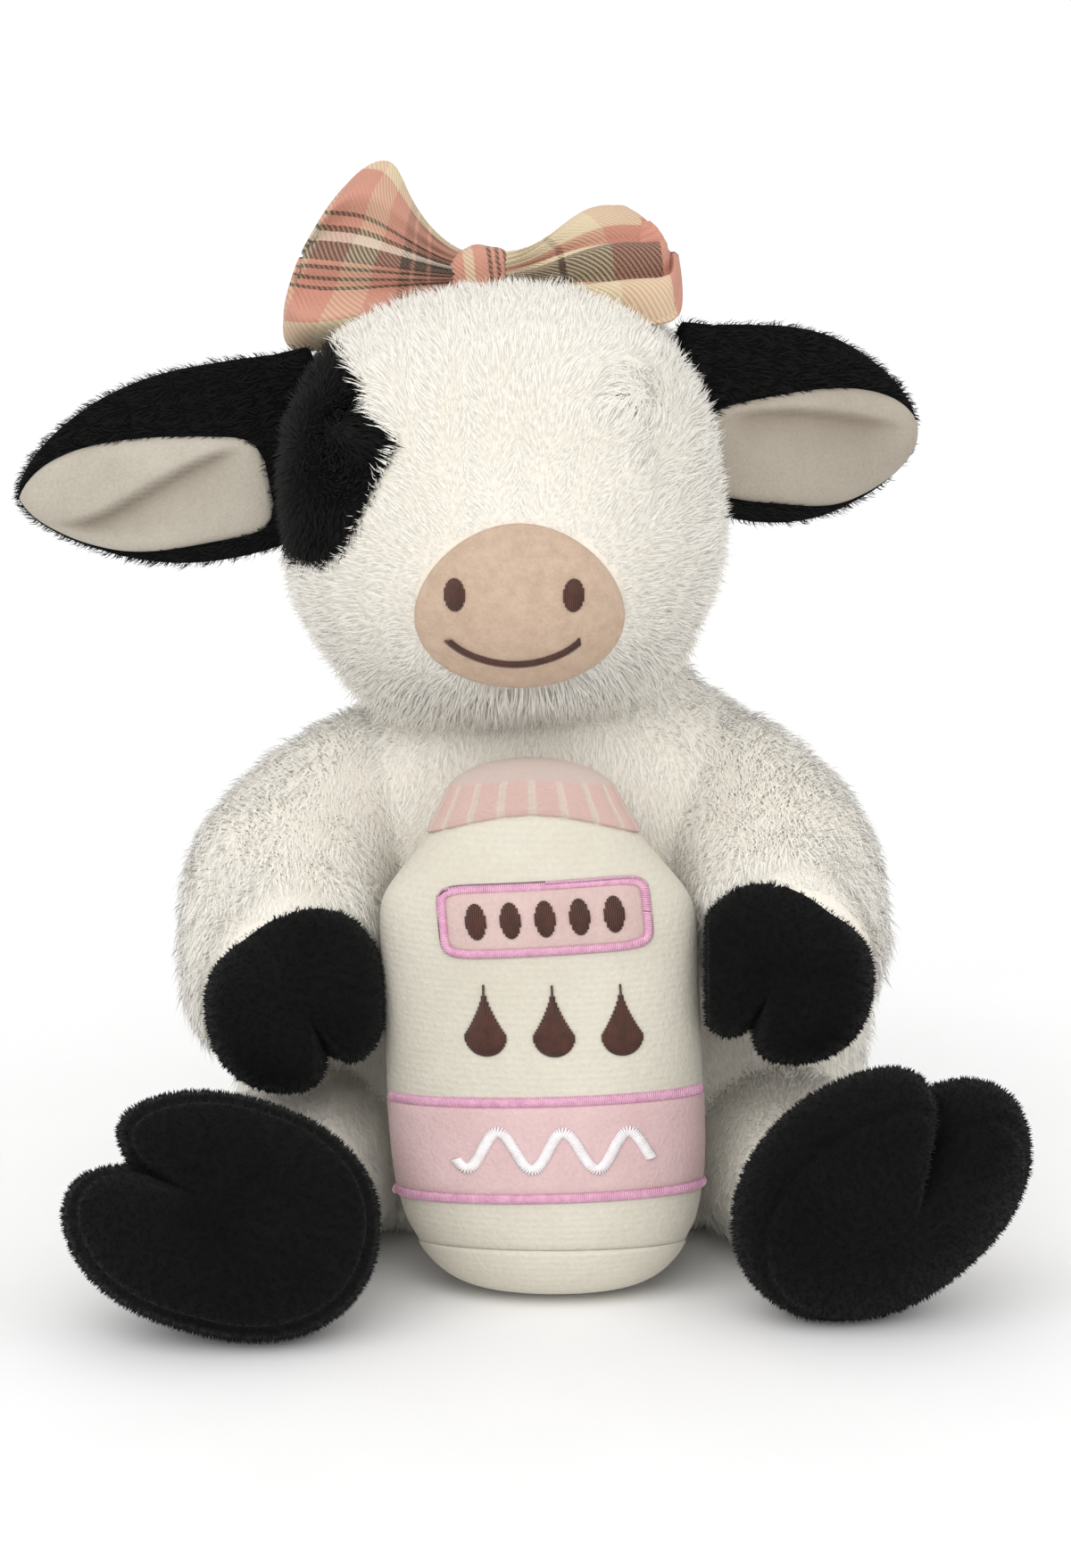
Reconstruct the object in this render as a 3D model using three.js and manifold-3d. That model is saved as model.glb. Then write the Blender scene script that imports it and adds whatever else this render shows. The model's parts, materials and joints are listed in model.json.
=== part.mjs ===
// Seated plush cow with a removable heat pack, a plaid bow and a hugged plush milk bottle.
// Millimetres, +Z up. The cow faces -Y. The origin is the middle of the flat seat.
// Right and left are the cow's own: its right side is at -X.
import * as THREE from 'three';
import { ParametricGeometry } from 'three/addons/geometries/ParametricGeometry.js';
import { mergeVertices } from 'three/addons/utils/BufferGeometryUtils.js';
import Module from 'manifold-3d';

const wasm = await Module();
wasm.setup();

// Clearances and cloth thicknesses
const sewnGap = 0.3;          // between two pieces that lie against each other
const neckGap = 0.9;          // between the neck ball and the head that turns on it
const plushWall = 4;          // backing and pressed pile of the body and head covers
const linerWall = 1.5;        // cotton of the pocket
const stripThickness = 1.2;   // hook and loop tape
const threadHeight = 0.9;     // raised satin stitch
const appliqueHeight = 1.3;   // velour sewn on velour
const floorPress = 0.5;       // depth of the flat that each resting form gets
const beyond = 300;           // reach of a cutting plane, past every part of the toy
const sweepStep = 10;         // degrees between the positions for which a turning piece is cleared

// Facets of the soft forms, around and along each
const facetCounts = {
  torso: [18, 12],
  neck: [26, 10],
  head: [18, 12],
  ear: [14, 8],
  lining: [12, 8],
  bow: [16, 12],
  knot: [10, 6],
  limb: [12, 8],
  hand: [16, 8],
  foot: [16, 12],
  bottle: [20, 12],
  pack: [14, 6],
};

// Torso
const torsoWidth = 176;
const torsoDepth = 100;
const bellyHeight = 45;       // height of the widest section
const torsoHeight = 154;      // top of the shoulders, inside the neck ball
const bellyFullness = 4;      // how square the seat is
const shoulderFullness = 2.8;

// Neck and head
const neckRadius = 44;
const neckHeight = 128;
const headWidth = 122;
const headDepth = 108;
const headHeight = 118;
const headFullness = 2.45;
const headLift = 80;          // head centre above the neck centre
const headForward = 10;       // head centre ahead of the neck centre
const headSide = 3;           // and to the cow's right of it
const headLean = 6.5;         // degrees, towards the cow's right
const snoutLength = 17;
const snoutDrop = 20;         // snout centre below the head centre
const snoutSpread = 0.5;      // radians

// Face
const muzzleWidth = 52;
const muzzleHeight = 42;
const nostrilSpacing = 30;
const nostrilWidth = 5;
const nostrilHeight = 8;
const nostrilRise = 3;        // above the muzzle centre
const smileWidth = 34;
const smileSag = 7;
const smileDrop = 8;          // smile ends below the muzzle centre
const stitchWidth = 2;
const eyeSpacing = 72;
const eyeRise = 26;           // above the head centre
const eyeForward = 39;        // ahead of the head centre
const eyeSink = 2;            // flat back of the bead below the cover, in a pulled-in dimple
const eyeRadius = 4.5;
const eyeStemRadius = 1.6;
const washerRadius = 5;
const washerThickness = 1.2;
const washerDepth = 2.2;      // washer below the inside of the cover
const stemEndLength = 1;      // stem past the washer
const patchBack = 4;          // eye patch behind the middle of the head
const patchMiddle = [-30, -10];
const patchOutline = [        // from the right eye, X and Z
  [-headWidth, 26], [-14, 26], [-9, 23], [-2, 14], [5, 5.5], [11, -2],
  [7, -9], [1, -19], [-6, -30], [-13, -35], [-24, -34], [-headWidth, -31],
];

// Ears
const earLength = { right: 80, left: 68 };
const earWidth = 61;
const earThickness = 13;
const earRise = { right: 21, left: 15 };     // root centre above the head centre
const earCup = 5;             // how far the middle sits behind the rim
const liningMargin = 7;
const liningThickness = 3;
const earSink = 4;            // root inside the head
const earRootShare = 0.86;    // width at the root, of the full width
const earSwell = 0.5;         // how the edges bulge between root and tip
const earTaper = 2.4;
const earTipFullness = { right: 0.52, left: 0.42 };   // the left tip is blunter
const earEdge = 8;            // half width under which the ear thins
const earRootRound = 0.08;    // share of the length that rounds off at the root
const earCupStart = 0.25;
const earSweep = { right: 8, left: 22 };     // backwards at rest, degrees
const earDroop = { right: 5, left: 12 };     // downwards at rest, degrees
const earFlop = { from: -20, to: 30 };       // travel of the flop, degrees

// Bow
const bowWaist = 11;
const bowLoopWidth = 55;
const bowReach = { right: 47.5, left: 50 };
const bowRise = { right: 10, left: 0 };     // ends of the loops above the knot
const bowBack = { right: 2, left: 4 };       // and behind it
const bowThickness = 15;
const bowEndShare = 0.55;     // thickness at the ends and the waist, of the full thickness
const bowFlare = 1.15;        // how soon a loop reaches its full width
const bowEndFullness = 10;
const bowFolds = 3;
const bowFoldDepth = 1.6;
const knotWidth = 17;
const knotHeight = 15;
const knotDepth = 15;
const knotFullness = 3;
const bowPerch = 2.5;         // knot centre above the top of the head
const bowSide = 1;            // knot to the left of the head's middle
const bowBehind = 4;          // and behind it
const loopEdge = {            // outer edges: the right loop stands up, the left one lies back
  right: new THREE.Vector3(0.52, 0.1, 0.85),
  left: new THREE.Vector3(-0.23, 0.8, 0.55),
};

// Arms and hand hooves
const armRadius = 26;
const sleeveShape = { root: 0.86, swell: 0.24, flare: 0.12 };   // shares of the arm's radius
const sleeveFullness = 5;     // how square the ends of the sleeves are
const armRootSpread = 28;     // start of the sleeve, inside the shoulder
const armRootRise = 8;
const armRootBack = 6;
const shoulderSpread = 47;    // shoulder centre from the mid plane
const shoulderHeight = 122;
const shoulderForward = 6;
const shoulderPivotOut = 4;   // the arm's hinge from the shoulder centre
const shoulderPivotRise = 16;
const elbowSpread = { right: 65, left: 60 };
const elbowHeight = 108;
const elbowForward = 26;
const wristSpread = { right: 69, left: 66 };
const wristHeight = 97;
const wristForward = 58;
const cuffIn = 3;             // end of the sleeve from the wrist
const cuffForward = 8;
const cuffDrop = 7;
const handIn = 2;             // middle of the hoof from the wrist
const handForward = 15.5;
const handLower = 8;
const handDrop = { right: 7, left: 0 };      // the right hand hangs lower
const handCleft = -Math.PI / 8;              // bearing of the cleft from the tip, on the inner side
const handFullness = 2.4;
const handLength = 47;
const handWidth = 48;
const handThickness = 35;
const armSwing = 45;          // degrees outwards

// Legs and foot hooves
const legRadius = 26;
const hipSpread = 52;
const hipHeight = 26;
const hipForward = 6;
const footSpread = { right: 83, left: 86.5 };
const footForward = { right: 109, left: 100 };
const ankleBack = 8;          // end of the leg behind the middle of the foot
const thighShape = { root: 1.08, taper: 0.22 };      // shares of the leg's radius
const thighFullness = 5;
const footFullness = { right: 2.2, left: 2 };
const footCleft = { right: -0.2, left: 0.44 };       // bearing of the cleft from the tip, radians
const footToes = {            // where the toes of each foot point, and where its sole faces
  right: new THREE.Vector3(-1, 0, 0.3),
  left: new THREE.Vector3(0.79, 0.07, 0.55),
};
const footSole = {
  right: new THREE.Vector3(0.1, -0.79, 0.29),
  left: new THREE.Vector3(0.37, -0.71, -0.09),
};
const footLength = { right: 80, left: 79 };
const footWidth = { right: 62, left: 68 };
const footThickness = { right: 50, left: 46 };
const legSplay = 15;          // degrees outwards

// Cleft between the two toes of every hoof
const cleftShare = 0.24;      // of the reach, at the deepest
const cleftSpread = 0.16;     // half width, as a share of the reach
const cleftFade = { from: 0.25, to: 0.9 };   // it fades out over the back and the sole of the hoof

// Milk bottle
const bottleWidth = 85;
const bottleDepth = 44;
const bottleShoulder = 60;    // height of the widest section
const bottleHeight = 142;
const bottleLean = 7;         // degrees, back against the belly
const bottleTouch = 53;       // height at which it meets the belly
const bottleSink = 0.55;      // share of its leaning base that is pressed flat
const bottleFullness = { lower: 3.4, upper: 2.5 };
const capFullness = { lower: 7, upper: 2.4 };
const capDepth = 36;
const capWidth = 62;
const capHeight = 19;
const capRibCount = 18;
const capRibDepth = 0.8;
const capRingCount = 6;           // facets up the cap
const baseHeight = 22;        // height of the base seam
const bandHeight = 24;
const bandMiddle = 41.5;
const cordWidth = 2.6;
const plaqueWidth = 58;
const plaqueHeight = 21;
const plaqueDrop = 20;        // plaque's middle below the cap
const plaqueBorder = 2.6;
const plaqueRound = 3.6;
const plaqueTilt = 3;         // degrees
const dropCount = 3;
const dropLength = 19;
const dropWidth = 11;
const dropSpacing = 18;
const dropBelow = 27;         // middle of the drops below the plaque's
const dropPinch = 0.35;       // how hollow the sides of a drop are

// Pocket in the back and the heat pack in it
const packWidth = 94;
const packDepth = 54;
const packHeight = 29;
const packFullness = 4;
const pocketFloor = 50;
const fillAhead = 22;         // filling between the pocket and the belly
const flapSide = 13;          // overlap at each side of the mouth
const flapThickness = 4;
const flapBelow = 14;         // hinge below the mouth
const flapAbove = 18;         // overlap above the mouth
const stripHeight = 9;

const TAU = 2 * Math.PI;
const rad = THREE.MathUtils.degToRad;
const sides = { right: -1, left: 1 };
const torsoSize = {
  halfWidth: torsoWidth / 2,
  halfDepth: torsoDepth / 2,
  lower: bellyHeight + floorPress,
  upper: torsoHeight - bellyHeight,
  middle: bellyHeight,
  lowerFullness: bellyFullness,
  upperFullness: shoulderFullness,
};

// Materials, with the colours of the photograph
const finish = (color, roughness) => new THREE.MeshStandardMaterial({ color, roughness, metalness: 0 });
const materials = {
  whitePlush: finish(0xf0ece2, 1),
  blackPlush: finish(0x141414, 1),
  blackVelour: finish(0x121212, 0.9),
  beigeVelour: finish(0xe0c6b6, 0.95),
  brownThread: finish(0x502d23, 0.6),
  eyePlastic: finish(0x0c0c0c, 0.2),
  earVelour: finish(0xe6e2de, 0.95),
  plaidCloth: finish(0xd9a596, 0.95),
  ivoryVelour: finish(0xf2ece0, 0.95),
  coralVelour: finish(0xf3c2b8, 0.95),
  pinkVelour: finish(0xeecdd2, 0.95),
  pinkThread: finish(0xe2a0cd, 0.55),
  fill: finish(0xf6f6f4, 1),
  cotton: finish(0xe9e2d2, 0.95),
  tape: finish(0xe4e1da, 0.9),
};

// Solids: joins, cuts and the mesh of a result

function solidOf(geometry) {
  const bare = geometry.clone();
  bare.deleteAttribute('normal');
  bare.deleteAttribute('uv');
  const merged = mergeVertices(bare, 1e-4);
  const points = merged.attributes.position.array;
  const index = merged.index.array;
  const corner = (i) => new THREE.Vector3().fromArray(points, 3 * i);
  const faces = [];
  let volume = 0;
  for (let i = 0; i < index.length; i += 3) {
    const [a, b, c] = index.slice(i, i + 3);
    if (a === b || b === c || c === a) continue;
    faces.push([a, b, c]);
    volume += corner(a).dot(corner(b).cross(corner(c)));
  }
  const outward = volume > 0 ? faces : faces.map(([a, b, c]) => [a, c, b]);
  const triVerts = new Uint32Array(outward.flat());
  const vertProperties = new Float32Array(points);
  return new wasm.Manifold(new wasm.Mesh({ numProp: 3, vertProperties, triVerts }));
}

// The main body of a cut piece, without crumbs that a cut left behind
function mainBody(solid) {
  return solid.decompose().reduce((best, next) => (next.volume() > best.volume() ? next : best));
}

const without = (solid, cutters) => cutters.reduce((rest, cutter) => rest.subtract(cutter), solid);

function meshOf(name, solid, material) {
  const cut = mainBody(solid).getMesh();
  const geometry = new THREE.BufferGeometry();
  geometry.setAttribute('position', new THREE.Float32BufferAttribute(cut.vertProperties, 3));
  geometry.setIndex(Array.from(cut.triVerts));
  geometry.computeVertexNormals();
  const mesh = new THREE.Mesh(geometry, material);
  mesh.name = name;
  return mesh;
}

function moved(solid, matrix) {
  return solid.transform(matrix.elements.slice());
}

// The shapes a fixed neighbour takes, seen from a piece that turns from one angle to another about an axis
function sweptAround(solid, centre, axis, from, to) {
  const steps = Math.ceil((to - from) / sweepStep);
  const shapes = [];
  for (let i = 0; i <= steps; i++) {
    const angle = -rad(from + ((to - from) * i) / steps);
    const turn = new THREE.Matrix4().makeTranslation(centre)
      .multiply(new THREE.Matrix4().makeRotationAxis(axis, angle))
      .multiply(new THREE.Matrix4().makeTranslation(centre.clone().negate()));
    shapes.push(moved(solid, turn));
  }
  return shapes;
}

const span = (x0, x1, y0, y1, z0, z1) => solidOf(
  new THREE.BoxGeometry(x1 - x0, y1 - y0, z1 - z0)
    .translate((x0 + x1) / 2, (y0 + y1) / 2, (z0 + z1) / 2),
);

// An outline in X and Z, carried along Y
function prism(shape, y0, y1, curveSteps) {
  const geometry = new THREE.ExtrudeGeometry(shape, {
    depth: y1 - y0, bevelEnabled: false, curveSegments: curveSteps,
  });
  return solidOf(geometry.rotateX(Math.PI / 2).translate(0, y1, 0));
}

function ovalShape(x, z, width, height) {
  return new THREE.Shape().absellipse(x, z, width / 2, height / 2, 0, TAU, false, 0);
}

// Soft forms

// Rings of points from one pole to the other; place gives the point at a share along and an angle around
function softForm(place, [around, along]) {
  const point = (u, v, target) => place(v, TAU * (u % 1), target);
  return solidOf(new ParametricGeometry(point, around, along));
}

// Two half superellipsoids on one widest section, each with its own height and fullness
function pearForm(size, grow, facet, rib = () => 0) {
  return softForm((t, angle, target) => {
    const s = t === 0 ? -1 : t === 1 ? 1 : Math.sin(Math.PI * (t - 0.5));
    const fullness = s < 0 ? size.lowerFullness : size.upperFullness;
    const reach = (1 - Math.abs(s) ** fullness) ** (1 / fullness);
    const height = (s < 0 ? size.lower : size.upper) + grow;
    const ribbed = grow + rib(angle);
    target.set(
      (size.halfWidth + ribbed) * reach * Math.cos(angle),
      (size.halfDepth + ribbed) * reach * Math.sin(angle),
      size.middle + height * s,
    );
  }, facet);
}

// A round limb along a curve; radiusAt gives its radius at a share of the length
function limbForm(curve, radiusAt, fullness, grow) {
  const side = new THREE.Vector3(0, 0, 1);
  return softForm((t, angle, target) => {
    const share = (1 - Math.cos(Math.PI * t)) / 2;
    const end = t === 0 || t === 1 ? 0 : (1 - Math.abs(2 * share - 1) ** fullness) ** (1 / fullness);
    const tangent = curve.getTangentAt(share);
    const across = new THREE.Vector3().crossVectors(tangent, side).normalize();
    const up = new THREE.Vector3().crossVectors(across, tangent);
    const radius = (radiusAt(share) + grow) * end;
    target.copy(curve.getPointAt(share))
      .addScaledVector(tangent, grow * (2 * share - 1))
      .addScaledVector(across, radius * Math.cos(angle))
      .addScaledVector(up, radius * Math.sin(angle));
  }, facetCounts.limb);
}

// A stuffed hoof: an ellipsoid with a cleft between its toes. Its toes point along X, its sole faces Z.
function hoofForm(size, grow, facet) {
  const direction = new THREE.Vector3();
  return softForm((t, angle, target) => {
    direction.setFromSphericalCoords(1, Math.PI * t, angle);
    const { x, y, z } = direction;
    const power = size.fullness;
    const reach = (Math.abs((2 * x) / size.length) ** power
      + Math.abs((2 * y) / size.width) ** power
      + Math.abs((2 * z) / size.thickness) ** power) ** (-1 / power);
    const bearing = Math.atan2(y, x) - size.cleftBearing;
    const near = THREE.MathUtils.smoothstep(Math.hypot(x, y), cleftFade.from, cleftFade.to);
    const cleft = cleftShare * near * Math.exp(-((bearing / cleftSpread) ** 2));
    target.copy(direction).multiplyScalar(reach * (1 - cleft) + grow);
  }, facet);
}

// A frame at a point, with X along the toes and Z along the sole's normal
function frameAt(point, toes, normal) {
  const x = toes.clone().normalize();
  const y = new THREE.Vector3().crossVectors(normal, x).normalize();
  const z = new THREE.Vector3().crossVectors(x, y);
  return new THREE.Matrix4().makeBasis(x, y, z).setPosition(point);
}

const slab = (z0, z1) => span(-beyond, beyond, -beyond, beyond, z0, z1);
const aboveFloor = (solid) => solid.subtract(slab(-beyond, 0));

// Torso: cover with a pocket mouth, filling, pocket, flap and heat pack

const neckCentre = new THREE.Vector3(0, 0, neckHeight);

// The ball that the head turns on, round its own centre
const neckBall = (grow) => solidOf(
  new THREE.SphereGeometry(neckRadius + grow, ...facetCounts.neck).rotateX(Math.PI / 2),
);

function torsoForm(grow) {
  return pearForm(torsoSize, grow, facetCounts.torso).add(neckBall(grow).translate(neckCentre.toArray()));
}

const torsoOuter = torsoForm(0);
const torsoClear = torsoForm(sewnGap);
const packTop = pocketFloor + linerWall + sewnGap + packHeight;
const mouthTop = packTop + sewnGap + linerWall;
const pocketHalf = packWidth / 2 + sewnGap + linerWall;
const pocketEnd = -torsoDepth / 2 + plushWall + fillAhead;
const farY = torsoDepth / 2 + plushWall + flapThickness;

function pocketSpace(grow) {
  return span(-pocketHalf - grow, pocketHalf + grow, pocketEnd - grow, farY,
    pocketFloor - grow, mouthTop + grow);
}

const stripMiddle = mouthTop + flapAbove / 2;
const stripZone = (grow) => span(-packWidth / 2 - grow, packWidth / 2 + grow, 0, 2 * farY,
  stripMiddle - stripHeight / 2 - grow, stripMiddle + stripHeight / 2 + grow);
const backLayer = (inner, outer, zone) => torsoForm(outer).subtract(torsoForm(inner)).intersect(zone);
const floorShell = torsoForm(-plushWall).subtract(slab(-beyond, plushWall));

const torsoCover = aboveFloor(without(torsoOuter, [
  floorShell,
  pocketSpace(sewnGap),
  backLayer(-stripThickness - sewnGap, stripThickness, stripZone(sewnGap)),
]));
const torsoStuffing = torsoForm(-plushWall - sewnGap)
  .subtract(slab(-beyond, plushWall + sewnGap))
  .subtract(pocketSpace(sewnGap));
const pocketLiner = pocketSpace(0)
  .subtract(span(-pocketHalf + linerWall, pocketHalf - linerWall, pocketEnd + linerWall, 2 * farY,
    pocketFloor + linerWall, mouthTop - linerWall))
  .intersect(torsoForm(-sewnGap));
const pocketLoopStrip = backLayer(-stripThickness, 0, stripZone(0));

const flapZone = span(-pocketHalf - flapSide, pocketHalf + flapSide, 0, 2 * farY,
  pocketFloor - flapBelow, mouthTop + flapAbove);
const pocketFlap = backLayer(sewnGap, sewnGap + flapThickness, flapZone)
  .subtract(backLayer(-stripThickness, 2 * sewnGap + stripThickness, stripZone(sewnGap)));
const pocketHookStrip = backLayer(sewnGap, sewnGap + stripThickness, stripZone(0));

const heatPack = pearForm({
  halfWidth: packWidth / 2,
  halfDepth: packDepth / 2,
  lower: packHeight / 2,
  upper: packHeight / 2,
  middle: pocketFloor + linerWall + sewnGap + packHeight / 2,
  lowerFullness: packFullness,
  upperFullness: packFullness,
}, 0, facetCounts.pack).translate([0, pocketEnd + linerWall + sewnGap + packDepth / 2, 0]);

// Head, in the frame of the neck's centre

const headCentre = new THREE.Vector3(-headSide, -headForward, headLift);
const snoutAxis = new THREE.Vector3(headSide, -headDepth / 2, -snoutDrop).normalize();

function headReach(direction, grow) {
  const ovoid = (Math.abs((2 * direction.x) / headWidth) ** headFullness
    + Math.abs((2 * direction.y) / headDepth) ** headFullness
    + Math.abs((2 * direction.z) / headHeight) ** headFullness) ** (-1 / headFullness);
  const away = direction.angleTo(snoutAxis) / snoutSpread;
  return ovoid + snoutLength * Math.exp(-away * away) + grow;
}

function headForm(grow) {
  const direction = new THREE.Vector3();
  return softForm((t, angle, target) => {
    direction.setFromSphericalCoords(1, Math.PI * t, angle);
    direction.applyAxisAngle(new THREE.Vector3(1, 0, 0), Math.PI / 2);
    target.copy(direction).multiplyScalar(headReach(direction, grow)).add(headCentre);
  }, facetCounts.head);
}

const headClear = headForm(sewnGap);
const neckSocket = neckBall(neckGap);
const faceLayer = (inner, outer, zone) => headForm(outer).subtract(headForm(inner)).intersect(zone);
const faceFront = headCentre.y - headDepth / 2 - 2 * snoutLength;
const muzzleZ = headCentre.z - snoutDrop;

// The muzzle sits level on the leaning head: shapes on it are drawn round its centre and turned back
const muzzleTurn = new THREE.Matrix4().makeRotationY(rad(headLean)).setPosition(0, 0, muzzleZ);
const facePrism = (shape, steps) => moved(prism(shape, faceFront, headCentre.y, steps), muzzleTurn);
const muzzleZone = (grow) => facePrism(ovalShape(0, 0, muzzleWidth + 2 * grow, muzzleHeight + 2 * grow), 24);

// The black plush patch round the right eye, as an outline in X and Z seen from the front
function patchZone(grow) {
  const right = headCentre.x - eyeSpacing / 2;
  const eyeZ = headCentre.z + eyeRise;
  const middle = new THREE.Vector2(...patchMiddle);
  const shape = new THREE.Shape(patchOutline.map(([x, z]) => {
    const out = new THREE.Vector2(x, z).sub(middle).normalize().multiplyScalar(grow);
    return new THREE.Vector2(right + x + out.x, eyeZ + z + out.y);
  }));
  return prism(shape, faceFront, headCentre.y + patchBack + grow, 1);
}

// One sewn-in safety eye: bead, stem and the washer that locks it inside the cover
function eyeParts(sign) {
  const towards = new THREE.Vector3(sign * eyeSpacing / 2, -eyeForward, eyeRise).normalize();
  const skin = headReach(towards, 0);
  const turn = new THREE.Quaternion().setFromUnitVectors(new THREE.Vector3(0, 0, 1), towards);
  const frame = new THREE.Matrix4().compose(headCentre, turn, new THREE.Vector3(1, 1, 1));
  const turned = (profile) => {
    const points = profile.map(([radius, height]) => new THREE.Vector2(radius, skin + height));
    return moved(solidOf(new THREE.LatheGeometry(points, 16).rotateX(Math.PI / 2)), frame);
  };
  const washerAt = -plushWall - washerDepth;
  const washerEnd = washerAt - washerThickness;
  const stemEnd = washerEnd - stemEndLength;
  const holeRadius = eyeStemRadius + sewnGap;
  const roomRadius = washerRadius + sewnGap;
  const dimpleRadius = eyeRadius + sewnGap;
  const dome = [0, 1, 2, 3].map((step) => {
    const rise = (step * Math.PI) / 6;
    return [step === 3 ? 0 : eyeRadius * Math.cos(rise), eyeRadius * Math.sin(rise) - eyeSink];
  });
  return {
    bead: turned([[0, stemEnd], [eyeStemRadius, stemEnd], [eyeStemRadius, -eyeSink], ...dome]),
    washer: turned([
      [holeRadius, washerEnd], [washerRadius, washerEnd], [washerRadius, washerAt], [holeRadius, washerAt],
      [holeRadius, washerEnd],
    ]),
    stemHole: turned([
      [0, stemEnd - sewnGap], [holeRadius, stemEnd - sewnGap], [holeRadius, eyeRadius], [0, eyeRadius],
    ]),
    dimple: turned([
      [0, -eyeSink - sewnGap], [dimpleRadius, -eyeSink - sewnGap], [dimpleRadius, eyeRadius], [0, eyeRadius],
    ]),
    washerRoom: turned([
      [0, washerEnd - sewnGap], [roomRadius, washerEnd - sewnGap], [roomRadius, 0], [0, 0],
    ]),
  };
}

const eyes = { right: eyeParts(-1), left: eyeParts(1) };
const stemHoles = [eyes.right.stemHole, eyes.left.stemHole];
const dimples = [eyes.right.dimple, eyes.left.dimple];
const headShell = without(headForm(0), [headForm(-plushWall), neckSocket, ...stemHoles, ...dimples]);
const headCover = without(headShell, [muzzleZone(sewnGap), patchZone(sewnGap)]);
const eyePatch = headShell.intersect(patchZone(0)).subtract(muzzleZone(sewnGap));
const muzzle = faceLayer(-plushWall, appliqueHeight, muzzleZone(0));
const headStuffing = without(headForm(-plushWall - sewnGap), [
  neckSocket, eyes.right.washerRoom, eyes.left.washerRoom, ...stemHoles,
]);

const muzzleTop = appliqueHeight + sewnGap;
const onMuzzle = (shape, steps) => faceLayer(muzzleTop, muzzleTop + threadHeight, facePrism(shape, steps));
const nostril = (sign) => onMuzzle(
  ovalShape(sign * nostrilSpacing / 2, nostrilRise, nostrilWidth, nostrilHeight), 10,
);

// The smile is an arc through its two ends and its lowest point
function smileShape() {
  const half = smileWidth / 2;
  const radius = (half * half + smileSag * smileSag) / (2 * smileSag);
  const centreZ = radius - smileDrop - smileSag;
  const reach = Math.asin(half / radius);
  const shape = new THREE.Shape();
  shape.absarc(0, centreZ, radius + stitchWidth / 2, -Math.PI / 2 - reach, -Math.PI / 2 + reach, false);
  shape.absarc(0, centreZ, radius - stitchWidth / 2, -Math.PI / 2 + reach, -Math.PI / 2 - reach, true);
  return shape;
}

const mouthStitch = onMuzzle(smileShape(), 8);

// Ears, each in a frame at its root: X out along the ear, Z up across it, -Y towards the front

function earWidthAt(side, t) {
  const bulge = earRootShare + earSwell * t * (1 - t);
  return (earWidth / 2) * (1 - t ** earTaper) ** earTipFullness[side] * bulge;
}

// A leaf along X that is cupped across Z
function leafForm(length, widthAt, thickness, facet) {
  return softForm((v, angle, target) => {
    const t = (1 - Math.cos(Math.PI * v)) / 2;
    const root = Math.min(1, Math.sqrt(t / earRootRound));
    const half = v === 0 || v === 1 ? 0 : widthAt(t) * root;
    const across = Math.cos(angle);
    const bend = earCup * across * across * Math.sin(Math.PI * Math.min(t + earCupStart, 1));
    const thick = 0.5 * thickness * Math.min(1, half / earEdge);
    target.set(length * t, thick * Math.sin(angle) - bend, half * across);
  }, facet);
}

const earSolid = (side) => leafForm(earLength[side], (t) => earWidthAt(side, t), earThickness, facetCounts.ear);

function liningSolid(side, grow) {
  const length = earLength[side] - liningMargin;
  const widthAt = (t) => Math.max(0, earWidthAt(side, t) - liningMargin + grow);
  return leafForm(length + 2 * grow, widthAt, liningThickness + 2 * grow, facetCounts.lining)
    .translate([-grow, liningThickness / 2 - earThickness / 2, 0]);
}

function earRoot(side) {
  const sign = sides[side];
  const towards = new THREE.Vector3(sign * headWidth / 2, 0, earRise[side]).normalize();
  return towards.multiplyScalar(headReach(towards, 0)).add(headCentre);
}

function earFrame(side) {
  const sweep = rad(earSweep[side]);
  const droop = rad(earDroop[side]);
  const x = new THREE.Vector3(sides[side] * Math.cos(sweep), Math.sin(sweep), -Math.tan(droop)).normalize();
  const back = new THREE.Vector3().crossVectors(new THREE.Vector3(0, 0, sides[side]), x).normalize();
  const z = new THREE.Vector3().crossVectors(x, back);
  return new THREE.Matrix4().makeBasis(x, back, z).setPosition(earRoot(side).addScaledVector(x, -earSink));
}

function earParts(side) {
  const frame = earFrame(side);
  const hingeAxis = new THREE.Vector3(0, 0, sides[side]);
  const paths = sweptAround(headClear, earRoot(side), hingeAxis, earFlop.from, earFlop.to);
  const leaf = earSolid(side);
  return {
    outer: without(moved(leaf.subtract(liningSolid(side, sewnGap)), frame), paths),
    lining: without(moved(liningSolid(side, 0).intersect(leaf), frame), paths),
  };
}

// Bow: a folded strip, gathered at its waist by the knot

const bowCentre = new THREE.Vector3(
  headCentre.x + bowSide, headCentre.y + bowBehind, headCentre.z + headHeight / 2 + bowPerch,
);
const bowEnd = (side, share) => new THREE.Vector3(
  sides[side] * bowReach[side] * share, bowBack[side] * Math.max(0, 2 * share - 1), bowRise[side] * share,
).add(bowCentre);
const bowRun = new THREE.CatmullRomCurve3([
  bowEnd('right', 1), bowEnd('right', 0.5), bowCentre, bowEnd('left', 0.5), bowEnd('left', 1),
]);

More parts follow.
